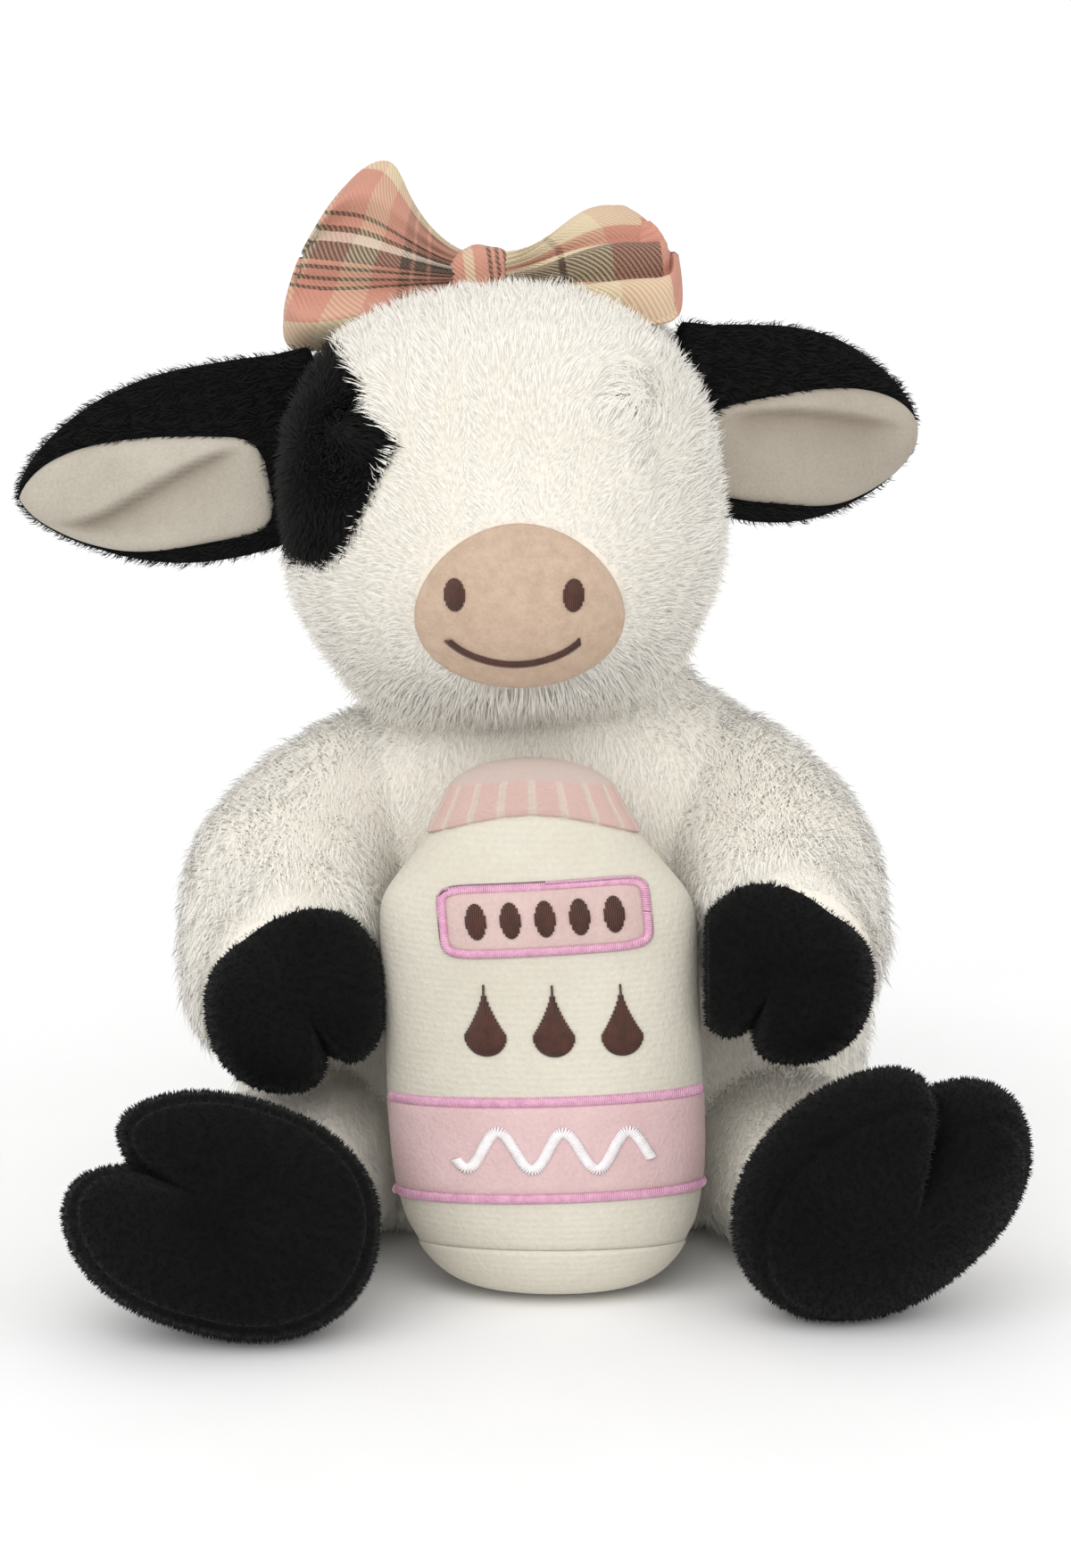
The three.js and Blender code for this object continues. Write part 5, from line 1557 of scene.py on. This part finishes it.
def plaid_material():
    """Twill: diagonal ribs show the warp, whose bands run along the strip, and the weft, whose bands cross it.

    The warp has one set of bands on each loop and another on the knot, which lies apart on the UV map."""
    material, tree, shader = new_material("plaid twill", roughness=0.95, sheen=0.1, specular=0.1)
    where, u, v = own_uv(tree)
    ragged = node(tree, "ShaderNodeGroup", node_tree=FRAY, Size=260.0, Reach=0.014).outputs["Offset"]
    diagonal = maths(tree, "ADD", maths(tree, "MULTIPLY", u, UV_ALONG), maths(tree, "MULTIPLY", v, UV_ACROSS))
    u, v = maths(tree, "ADD", u, ragged), maths(tree, "ADD", v, ragged)
    right = bands(tree, v, [(0, CREAM), (0.23, PINK), (0.37, BROWN), (0.385, PINK), (0.41, BROWN), (0.425, PINK),
                            (0.45, BROWN), (0.465, PINK), (0.485, BROWN), (0.56, GREY), (0.60, BROWN), (0.625, PINK),
                            (0.66, BROWN), (0.675, PINK), (0.84, CREAM)])
    left = bands(tree, v, [(0, CREAM), (0.28, PINK), (0.30, BROWN), (0.46, CREAM), (0.49, PINK), (0.60, CREAM)])
    knot = bands(tree, u, [(0, PINK), (0.868, CREAM), (0.89, PINK), (0.915, BROWN), (0.922, PINK), (0.931, BROWN),
                           (0.938, PINK), (0.947, BROWN), (0.954, PINK)])
    weft = bands(tree, u, [(0, CREAM), (0.17, PINK), (0.24, CREAM), (0.30, PINK), (0.345, BROWN), (0.365, PINK),
                           (0.375, BROWN), (0.395, PINK), (0.405, BROWN), (0.5, CREAM), (0.645, BROWN),
                           (0.66, CREAM), (0.74, PINK), (KNOT_FROM, PINK)])
    warp = mixed(tree, maths(tree, "GREATER_THAN", u, LOOPS_MEET), right, left)
    warp = mixed(tree, maths(tree, "GREATER_THAN", u, KNOT_FROM), warp, knot)
    rib = maths(tree, "PINGPONG", diagonal, TWILL_RIB)
    over = maths(tree, "ADD", maths(tree, "MULTIPLY", maths(tree, "LESS_THAN", rib, 0.3), 0.45), 0.12)
    fuzz = node(tree, "ShaderNodeTexNoise", Scale=420.0, Detail=3.0)
    tree.links.new(where, fuzz.inputs["Vector"])
    brushing = node(tree, "ShaderNodeMapRange", **{"From Min": 0.42, "From Max": 0.68, "To Max": 0.3})
    tree.links.new(fuzz.outputs["Fac"], brushing.inputs["Value"])
    colour = mixed(tree, brushing.outputs[0], mixed(tree, over, warp, weft), CREAM)
    tree.links.new(colour, shader.inputs["Base Color"])
    bumped(tree, shader, rib, 0.0003)
    return material


plaid = plaid_material()
bow = add_piece("bow_cloth", bow_form(), "head", plaid, ("bow_strip",), layer="OFBake")
thicken = bow.modifiers.new("cloth thickness", "SOLIDIFY")
thicken.thickness = 0.8 * MM
thicken.offset = -1
knot = add_piece("bow_knot_band", knot_form(), "head", plaid, ("bow_knot",), layer="OFBake")
print("bow", len(bow.data.vertices), "points")

# %% [markdown]
# ## Milk bottle
#
# The bottle is a soft flask of ivory velour that leans back on the belly. Its cap is sewn from coral panels
# under a pale round top, with an arched edge. A pink band, a framed plaque and drops of milk in satin stitch
# decorate the front, with a row of dots on the plaque and a wave along the band.

# %% Bottle form
BOTTLE_HALF = np.array([42.5, 22.0])
BOTTLE_WAIST = 60.0
BOTTLE_TOP = 144.0
DOME_HEIGHT = 8.0
BOTTLE_LEAN = np.radians(7.0)
BOTTLE_FOOT = np.array([0.0, -78.97, 1.475])
BOTTLE_SLANT = 0.045
SLANT_MIDDLE = 58.0
BASE_SEAM = 14.0
SEAM_GAP = 0.1
CAP_PANELS = 18
CAP_EDGE = 124.0
CAP_ARCH = 5.8
FLASK_TOP = 116.0


def bottle_reach(z):
    """Share of the half widths at a height: a squarish foot, a straight wall, sloping shoulders, a round top.

    The shoulders grow with the depth below the top and its square; the top closes as a quarter ellipse.
    Wall and shoulders are joined by a smooth minimum, the sixteenth root of the sum of sixteenth powers,
    upside down."""
    below = np.clip((BOTTLE_WAIST - z) / (BOTTLE_WAIST + 0.5), 0, 1)
    depth = np.clip(BOTTLE_TOP - z, 1e-3, None)
    closing = np.sqrt(1 - np.clip(1 - depth / DOME_HEIGHT, 0, 1) ** 2)
    dome = (0.46 + 0.0048 * depth + 0.000273 * depth**2) * closing
    return np.where(z < BOTTLE_WAIST, (1 - below**3.4) ** (1 / 3.4), (1 + dome**-16.0) ** (-1 / 16))


def bottle_to_toy(points):
    """Points of the upright bottle, slanted a little to the right, leaned back and stood on the floor."""
    c, s = np.cos(BOTTLE_LEAN), np.sin(BOTTLE_LEAN)
    x, y, z = np.moveaxis(points, -1, 0)
    moved = np.stack([x - BOTTLE_SLANT * (z - SLANT_MIDDLE), y * c + z * s, z * c - y * s], -1) + BOTTLE_FOOT
    moved[..., 2] = np.maximum(moved[..., 2], 0)
    return moved


def bottle_surface(turn, z, grow):
    """Points round the upright bottle."""
    reach = bottle_reach(z)
    wide, deep = ((half + grow) * reach for half in BOTTLE_HALF)
    return np.stack([wide * np.cos(turn), deep * np.sin(turn), z + 0 * turn], -1)


def cap_edge(turn):
    """Height of the cap's edge, an arch that is highest in front and behind."""
    return CAP_EDGE + CAP_ARCH * np.sin(turn) ** 2


def bottle_part(low, high, low_pole, high_pole, rows, grow, cols=144):
    """A closed stretch of the bottle between two edges; grow is a function of the turn and the share."""
    share = np.linspace(0, 1, rows)[:, None]
    turn = full_turn(cols)[None]
    z = low(turn) + (high(turn) - low(turn)) * share
    rings = bottle_surface(turn, z, grow(turn, share))
    points, faces, uv = closed_rings(rings, [0, 0, low_pole], [0, 0, high_pole])
    return bottle_to_toy(points), faces, uv


def level(z):
    """A level edge at a height."""
    return lambda turn: z + 0 * turn


def sewn_edge(low_depth, high_depth, width=0.03):
    """Pulled in at the seams along the lower and the upper edge."""
    return lambda turn, share: -low_depth * bell(share, width) - high_depth * bell(1 - share, width) + 0 * turn


def cap_puff(turn, share):
    """Panels puffed between their seams, fading out on the round top, and pulled in at the edge."""
    panel = np.abs(np.cos(CAP_PANELS / 2 * turn)) ** 0.5
    return 0.5 + 0.9 * panel * ease(-share, -0.75, -0.55) - 0.9 * bell(share, 0.05)


def on_bottle(x, z, lift):
    """Points on the bottle's front by the place seen from ahead, lifted off the surface."""
    reach = bottle_reach(z)
    y = -BOTTLE_HALF[1] * np.sqrt(np.maximum(reach**2 - (x / BOTTLE_HALF[0]) ** 2, 0.003))
    slope = (bottle_reach(z + 0.5) ** 2 - bottle_reach(z - 0.5) ** 2) / 2
    normal = unit(np.stack([x / BOTTLE_HALF[0] ** 2, y / BOTTLE_HALF[1] ** 2, -slope + 0 * x], -1))
    return bottle_to_toy(np.stack([x, y, z + 0 * x], -1) + normal * np.asarray(lift)[..., None])


print("bottle half width at the cap's edge", (BOTTLE_HALF[0] * bottle_reach(CAP_EDGE)).round(1), "mm")

# %% Bottle body, base and cap


def knitted_material():
    """Ivory velour whose knitted backing shows as faint level rows, 1.8 mm apart."""
    material, tree, shader = new_material("ivory velour", roughness=0.9, sheen=0.12, specular=0.1)
    where = node(tree, "ShaderNodeTexCoord")
    rows = node(tree, "ShaderNodeTexWave", bands_direction="Z", Scale=174.5, Distortion=1.5, Detail=2.0,
                **{"Detail Scale": 3.0})
    tree.links.new(where.outputs["Object"], rows.inputs["Vector"])
    mottle = mottled(tree, linear(205, 199, 184), linear(218, 213, 199), patch=25.0, grain=700.0)
    share = maths(tree, "MULTIPLY", rows.outputs["Fac"], 0.14)
    colour = mixed(tree, share, mottle.outputs["Color"], linear(198, 188, 168))
    tree.links.new(colour, shader.inputs["Base Color"])
    bumped(tree, shader, maths(tree, "SUBTRACT", mottle.outputs["Height"], share), 0.0003)
    return material


PALE_PINK = linear(206, 187, 178)
CORAL = linear(212, 180, 171)
CAP_SEAM = linear(214, 200, 188)


def cap_material():
    """Coral panels with pale seams between them, under a pale pink top."""
    material, tree, shader = new_material("cap velour", roughness=0.9, sheen=0.15, specular=0.1)
    _, around, up = own_uv(tree)
    fray = node(tree, "ShaderNodeGroup", node_tree=FRAY, Size=160.0, Reach=0.25)
    rough = fray.outputs["Offset"]
    panel = maths(tree, "ADD", maths(tree, "MULTIPLY", around, CAP_PANELS), rough)
    seam = maths(tree, "LESS_THAN", maths(tree, "PINGPONG", maths(tree, "ADD", panel, 0.5), 0.5), 0.13)
    colour = mixed(tree, maths(tree, "MULTIPLY", seam, 0.8), CORAL, CAP_SEAM)
    top = maths(tree, "GREATER_THAN", maths(tree, "ADD", up, maths(tree, "MULTIPLY", rough, 0.1)), 0.62)
    tree.links.new(mixed(tree, top, colour, PALE_PINK), shader.inputs["Base Color"])
    bumped(tree, shader, fray.outputs["Noise"], 0.0002)
    return material


ivory_velour = knitted_material()
above, below = BASE_SEAM + SEAM_GAP, BASE_SEAM - SEAM_GAP
flask = bottle_part(level(above), cap_edge, above, FLASK_TOP, 70, sewn_edge(0.7, 0.6))
foot = bottle_part(level(0.0), level(below), 0, below, 30, sewn_edge(0, 0.7, 0.05))
lid = bottle_part(cap_edge, level(BOTTLE_TOP - 0.02), CAP_EDGE, BOTTLE_TOP, 40, cap_puff, 216)
add_piece("bottle_flask", flask, "bottle", ivory_velour, ("bottle_body",))
add_piece("bottle_foot", foot, "bottle", ivory_velour, ("bottle_base",))
add_piece("bottle_lid", lid, "bottle", cap_material(), ("bottle_cap",), layer="OFBake")
print("bottle", len(flask[0]) + len(foot[0]) + len(lid[0]), "points")

# %% Band and plaque forms
BAND_MIDDLE = 41.5
BAND_HALF = 12.0
BAND_SLANT = 0.025
BAND_PUFF = 1.0
PLAQUE_AT = np.array([2.0, 103.0])
PLAQUE_HALF = np.array([28.2, 9.6])
PLAQUE_TILT = np.radians(3.0)
PLAQUE_PUFF = 0.9
BORDER = 2.4
PAD_BACK = -1.0


def band_form(rows=24, cols=110):
    """The band: a puffed strip round the bottle's front, from side seam to side seam."""
    turn = np.linspace(-np.pi + 0.03, -0.03, cols)[None]
    share = np.linspace(-1, 1, rows)[:, None]
    x = BOTTLE_HALF[0] * np.cos(turn)
    z = BAND_MIDDLE + BAND_HALF * share + BAND_SLANT * x
    puff = 0.2 + BAND_PUFF * np.clip(1 - share**6, 0, 1) ** 0.5 * np.clip(1 - (x / 42.4) ** 16, 0, 1)
    front = bottle_to_toy(bottle_surface(turn, z, puff))
    back = bottle_to_toy(bottle_surface(turn, z, PAD_BACK + 0 * puff))
    return closed_pad(front, back)


def box_outline(half, turn, power=9):
    """A rounded box round the origin: a superellipse of high power."""
    c, s = np.cos(turn), np.sin(turn)
    reach = (np.abs(c / half[0]) ** power + np.abs(s / half[1]) ** power) ** (-1 / power)
    return reach * c, reach * s


def on_plaque(x, z, lift):
    """Points on the tilted plaque, measured from its middle."""
    c, s = np.cos(PLAQUE_TILT), np.sin(PLAQUE_TILT)
    return on_bottle(PLAQUE_AT[0] + x * c - z * s, PLAQUE_AT[1] + x * s + z * c, lift)


def polar_pad(outline, place, edge, puff, power, back, front_rows=20, back_rows=8):
    """A closed pad inside an outline: rings of the front from the middle out, then of the back and in again.

    The front lies at the edge's lift plus the puff times the root of one less a power of the share of the
    way out; place maps plane points and a lift onto a surface."""
    x, z = outline
    out = np.concatenate([[0], np.linspace(0.05, 1, front_rows)])[:, None]
    home = np.concatenate([np.linspace(0.99, 0.1, back_rows), [0]])[:, None]
    front = place(x * out, z * out, edge + puff * np.sqrt(1 - out**power) + 0 * x)
    behind = place(x * home, z * home, back + 0 * home + 0 * x)
    return closed_rings(np.concatenate([front[1:], behind[:-1]]), front[0, 0], behind[-1, 0])


# %% Satin stitch


def satin_fill(x, low, high, rise, place, steps=7):
    """Upright threads at places x from low to high, bulging in their middle and less at the sides."""
    share = np.linspace(-1, 1, steps)
    z = (low + high)[:, None] / 2 + (high - low)[:, None] / 2 * share
    tall = (high - low) / (high - low).max()
    lift = 0.2 + rise * (1 - share**2) * np.sqrt(tall)[:, None]
    return place(np.broadcast_to(x[:, None], z.shape), z, lift)


def oval_threads(centre, half, place, rise=0.7, pitch=0.5):
    """Upright threads that fill an oval."""
    x = np.linspace(-0.94, 0.94, max(5, int(2 * half[0] / pitch)))
    tall = np.sqrt(1 - x**2) * half[1]
    return satin_fill(centre[0] + x * half[0], centre[1] - tall, centre[1] + tall, rise, place)


def drop_threads(middle, length=19.0, width=11.0):
    """Upright threads that fill a milk drop: round below, drawn out to a point above."""
    r = width / 2
    x = np.linspace(-0.95, 0.95, 23) * r
    low_centre = -length / 2 + r
    low = low_centre - np.sqrt(r**2 - x**2)
    high = low_centre + (length - r) * (1 - np.abs(x / r) ** 0.62)
    return satin_fill(middle[0] + x, middle[1] + low, middle[1] + high, 0.8, on_bottle)


# %% Decorations of the bottle
SOFT_VELOUR = {"patch": 40.0, "grain": 900.0, "depth": 0.0003, "roughness": 0.9, "specular": 0.1}
THREAD = {"patch": 400.0, "grain": 2500.0, "depth": 0.0001, "roughness": 0.4, "sheen": 0.2, "specular": 0.5}
pink_velour = brushed("pink velour", linear(208, 176, 176), linear(220, 192, 191), sheen=0.15, **SOFT_VELOUR)
pale_velour = brushed("pale pink velour", linear(200, 174, 168), linear(214, 190, 183), sheen=0.1, **SOFT_VELOUR)
pink_thread = brushed("pink thread", linear(208, 146, 178), linear(232, 184, 206), **THREAD)
white_thread = brushed("white thread", linear(232, 224, 226), linear(250, 246, 246), **THREAD)
CORD_HALF = 41.6
CORD_OFFSET = 0.9
DROPS_AT = [(-15.0, 76), (3.0, 76), (21.0, 76)]
DOTS_AT = [(-18.0, 0), (-9.0, 0), (0.0, 0), (9.0, 0), (18.0, 0)]
DOT_HALF = [2.6, 4.6]
WAVE_RISE = 5
WAVE_LENGTH = 17
OVER_BAND = 1.1
turn = full_turn(200)


def over_plaque(x, z, lift):
    """Points on the plaque's puffed front."""
    return on_plaque(x, z, lift + PLAQUE_PUFF)


def over_band(x, z, lift):
    """Points on the band's puffed front."""
    return on_bottle(x, z, lift + OVER_BAND)


def add_stitches(name, paths, material, nodes=()):
    """Threads along paths as a piece of the bottle."""
    add_piece(name, thread_form(paths), "bottle", material, nodes)


add_piece("band_cloth", band_form(), "bottle", pink_velour, ("label_band",))
line_x = np.linspace(-CORD_HALF, CORD_HALF, 160)
for name, edge in (("band_upper_cord", 1), ("band_lower_cord", -1)):
    line = np.stack([line_x, BAND_MIDDLE + edge * (BAND_HALF + CORD_OFFSET) + BAND_SLANT * line_x], -1)
    add_stitches(name + "_threads", stitched_line(line, 2.6, 0.8, on_bottle), pink_thread, (name,))
plaque = polar_pad(box_outline(PLAQUE_HALF - BORDER + 0.4, turn), on_plaque, 0.2, PLAQUE_PUFF, 8, PAD_BACK)
add_piece("plaque_pad", plaque, "bottle", pale_velour, ("label_plaque",))
border = np.stack(box_outline(PLAQUE_HALF - BORDER / 2, np.append(turn, turn[0])), -1)
add_stitches("plaque_border_threads", stitched_line(border, BORDER, 0.9, on_plaque), pink_thread,
             ("plaque_border",))
for number, place in enumerate(DROPS_AT, 1):
    add_stitches(f"milk_drop_{number}_threads", drop_threads(place), brown_thread,
                 (f"milk_drop_{number}",))
dots = np.concatenate([oval_threads(place, DOT_HALF, over_plaque) for place in DOTS_AT])
add_stitches("plaque_dots", dots, brown_thread)
wave_x = np.linspace(-24, 27, 160)
wave = np.stack([wave_x, BAND_MIDDLE + WAVE_RISE * np.sin(wave_x * 2 * np.pi / WAVE_LENGTH)], -1)
add_stitches("band_wave", stitched_line(wave, 2.8, 0.7, over_band), white_thread)
print("threads in the dots", len(dots))

# %% [markdown]
# ## Pocket, flap and heat pack
#
# The flap is a plush pad over the pocket's mouth in the back, with tape inside it and tape above the mouth.
# The pocket is a cotton bag that lines the recess in the torso, and the heat pack a quilted cotton pad.

# %% Flap
flap_middle = (FLAP_LOW + FLAP_HIGH) / 2
flap_half = (FLAP_HIGH - FLAP_LOW)[[0, 2]] / 2


def on_back(x, z, lift):
    """Points on the torso's back, seen from behind, x and z from the flap's middle."""
    return np.stack([x, torso_back(x, z + flap_middle[2], lift), z + flap_middle[2]], -1)


flap = polar_pad(box_outline(flap_half - 1.0, turn), on_back, 1.8, 1.7, 10, 1.7, 26, 12)
add_piece("flap_plush", flap, "flap", white_skin, ("pocket_flap",))
rng = np.random.default_rng(13)
roots, normals = roots_on(skin_of(flap), 0.9, rng)
keep = normals[:, 1] > 0.1
roots, normals = roots[keep], normals[keep]
grow_pile("flap_pile", roots, normals, DOWN + 0 * roots, "flap", "white_plush", white_pile, length=6.0, seed=71)

# %% Pocket and heat pack
cotton = brushed("cotton", linear(206, 194, 172), linear(222, 212, 194), patch=60.0, grain=2200.0, depth=0.0002,
                 roughness=0.95, sheen=0.1, specular=0.1)
tape = brushed("hook and loop tape", linear(216, 213, 206), linear(238, 236, 230), patch=400.0, grain=1500.0,
               depth=0.0006, roughness=0.9, specular=0.2)
LINER_WALL = 1.5
QUILT_LINES = (-23.5, 0, 23.5)
PACK_LOW, PACK_HIGH = box_mm("heat_pack")


def liner_form():
    """A bag with square corners: its outside from the end to the mouth, then its inside back to the end."""
    low, high = LINER_LOW, LINER_HIGH
    middle, half = (low + high) / 2, (high - low) / 2
    angle = full_turn(160)
    rings = []
    for wall, shares in ((0.0, np.linspace(0, 1, 14)), (LINER_WALL, np.linspace(1, 0, 14))):
        x, z = box_outline(half[[0, 2]] - wall, angle, 24)
        x, z = x + middle[0], z + middle[2]
        mouth = torso_back(x, z, -0.6)
        end = low[1] + wall
        rings += [np.stack([x, end + (mouth - end) * share, z], -1) for share in shares]
    poles = ([middle[0], low[1] + wall, middle[2]] for wall in (0.0, LINER_WALL))
    return closed_rings(np.array(rings), *poles)


def pack_form(rows=60, cols=140):
    """A quilted pad: a full rounded box, pulled in along three stitched lines across it and round its edge."""
    size = PACK_HIGH - PACK_LOW
    d = unit(ball_directions(rows, cols) * size)
    local = d * ovoid_reach(d, size, 4)[:, None]
    line = sum(bell(local[:, 0] - place, 1.8) for place in QUILT_LINES)
    local[:, 2] *= 1 - 0.16 * line
    local[:, :2] *= (1 - 0.012 * bell(local[:, 2], 1.2) * (1 - line.clip(0, 1)))[:, None]
    return closed_ball(local + (PACK_LOW + PACK_HIGH) / 2, rows, cols)


liner = add_piece("pocket_bag", liner_form(), "torso", cotton, ("pocket_liner",))
add_piece("heat_pack_pad", pack_form(), "pack", cotton, ("heat_pack",))
for name in ("pocket_hook_strip", "pocket_loop_strip"):
    dress(name, tape)
print("pocket done")

# %% [markdown]
# ## Camera, floor and light
#
# The toy was seen from a little above, from straight ahead, through a long lens. Two broad suns and a
# pale sky give the even light of a studio; the floor runs past the edge of the view.

# %% Camera and studio
CAMERA_AIM = np.array([-2.5, 0.0, 124.0]) * MM
CAMERA_RISE = np.radians(12.0)
CAMERA_AWAY = 1.15
LENS = 93.3
SKY_LIGHT = 0.76


def add_camera():
    """The camera, set back from its aim along a line that rises from the floor."""
    data = bpy.data.cameras.new("camera")
    data.lens = LENS
    data.sensor_width = 36.0
    camera = bpy.data.objects.new("camera", data)
    back = np.array([0, -np.cos(CAMERA_RISE), np.sin(CAMERA_RISE)])
    camera.location = CAMERA_AIM + back * CAMERA_AWAY
    camera.rotation_euler = (np.pi / 2 - CAMERA_RISE, 0, 0)
    bpy.context.scene.collection.objects.link(camera)
    bpy.context.scene.camera = camera


def add_sun(name, turn, strength, spread):
    """A sun with soft edges; turn is its rotation from straight down."""
    data = bpy.data.lights.new(name, "SUN")
    data.energy = strength
    data.angle = np.radians(spread)
    lamp = bpy.data.objects.new(name, data)
    lamp.rotation_euler = np.radians(turn)
    bpy.context.scene.collection.objects.link(lamp)


def add_floor():
    """A pale floor that reaches past the view."""
    x = np.array([[-6.0, 6.0], [-6.0, 6.0]]) / MM
    y = np.array([[-6.0, -6.0], [30.0, 30.0]]) / MM
    quads, u, v = grid_quads(2, 2, False)
    floor = mesh_object("floor", np.stack([x, y, 0 * x], -1).reshape(-1, 3), [quads],
                        np.stack([u, v], -1).reshape(-1, 2), "UVMap")
    floor.data.materials.append(brushed("floor paper", linear(250, 250, 250), linear(253, 253, 253),
                                        depth=0.00002, roughness=0.9, specular=0.0))


def add_sky():
    """A pale sky that lights from all round, seen and mirrored as plain white."""
    world = bpy.data.worlds.new("studio")
    world.use_nodes = True
    tree = world.node_tree
    sky = tree.nodes["Background"]
    rays = tree.nodes.new("ShaderNodeLightPath").outputs
    mirrored = maths(tree, "MAXIMUM", rays["Is Glossy Ray"], rays["Is Transmission Ray"])
    seen = maths(tree, "MAXIMUM", rays["Is Camera Ray"], mirrored)
    strength = maths(tree, "ADD", maths(tree, "MULTIPLY", seen, 1 - SKY_LIGHT), SKY_LIGHT)
    sky.inputs["Color"].default_value = (1, 1, 1, 1)
    tree.links.new(strength, sky.inputs["Strength"])
    bpy.context.scene.world = world


add_camera()
add_sun("key sun", (48, 0, -26), 1.15, 60)
add_sun("fill sun", (62, 0, 36), 0.55, 70)
add_floor()
add_sky()
bpy.context.scene.view_settings.view_transform = "Standard"
print("camera at", list(bpy.context.scene.camera.location))
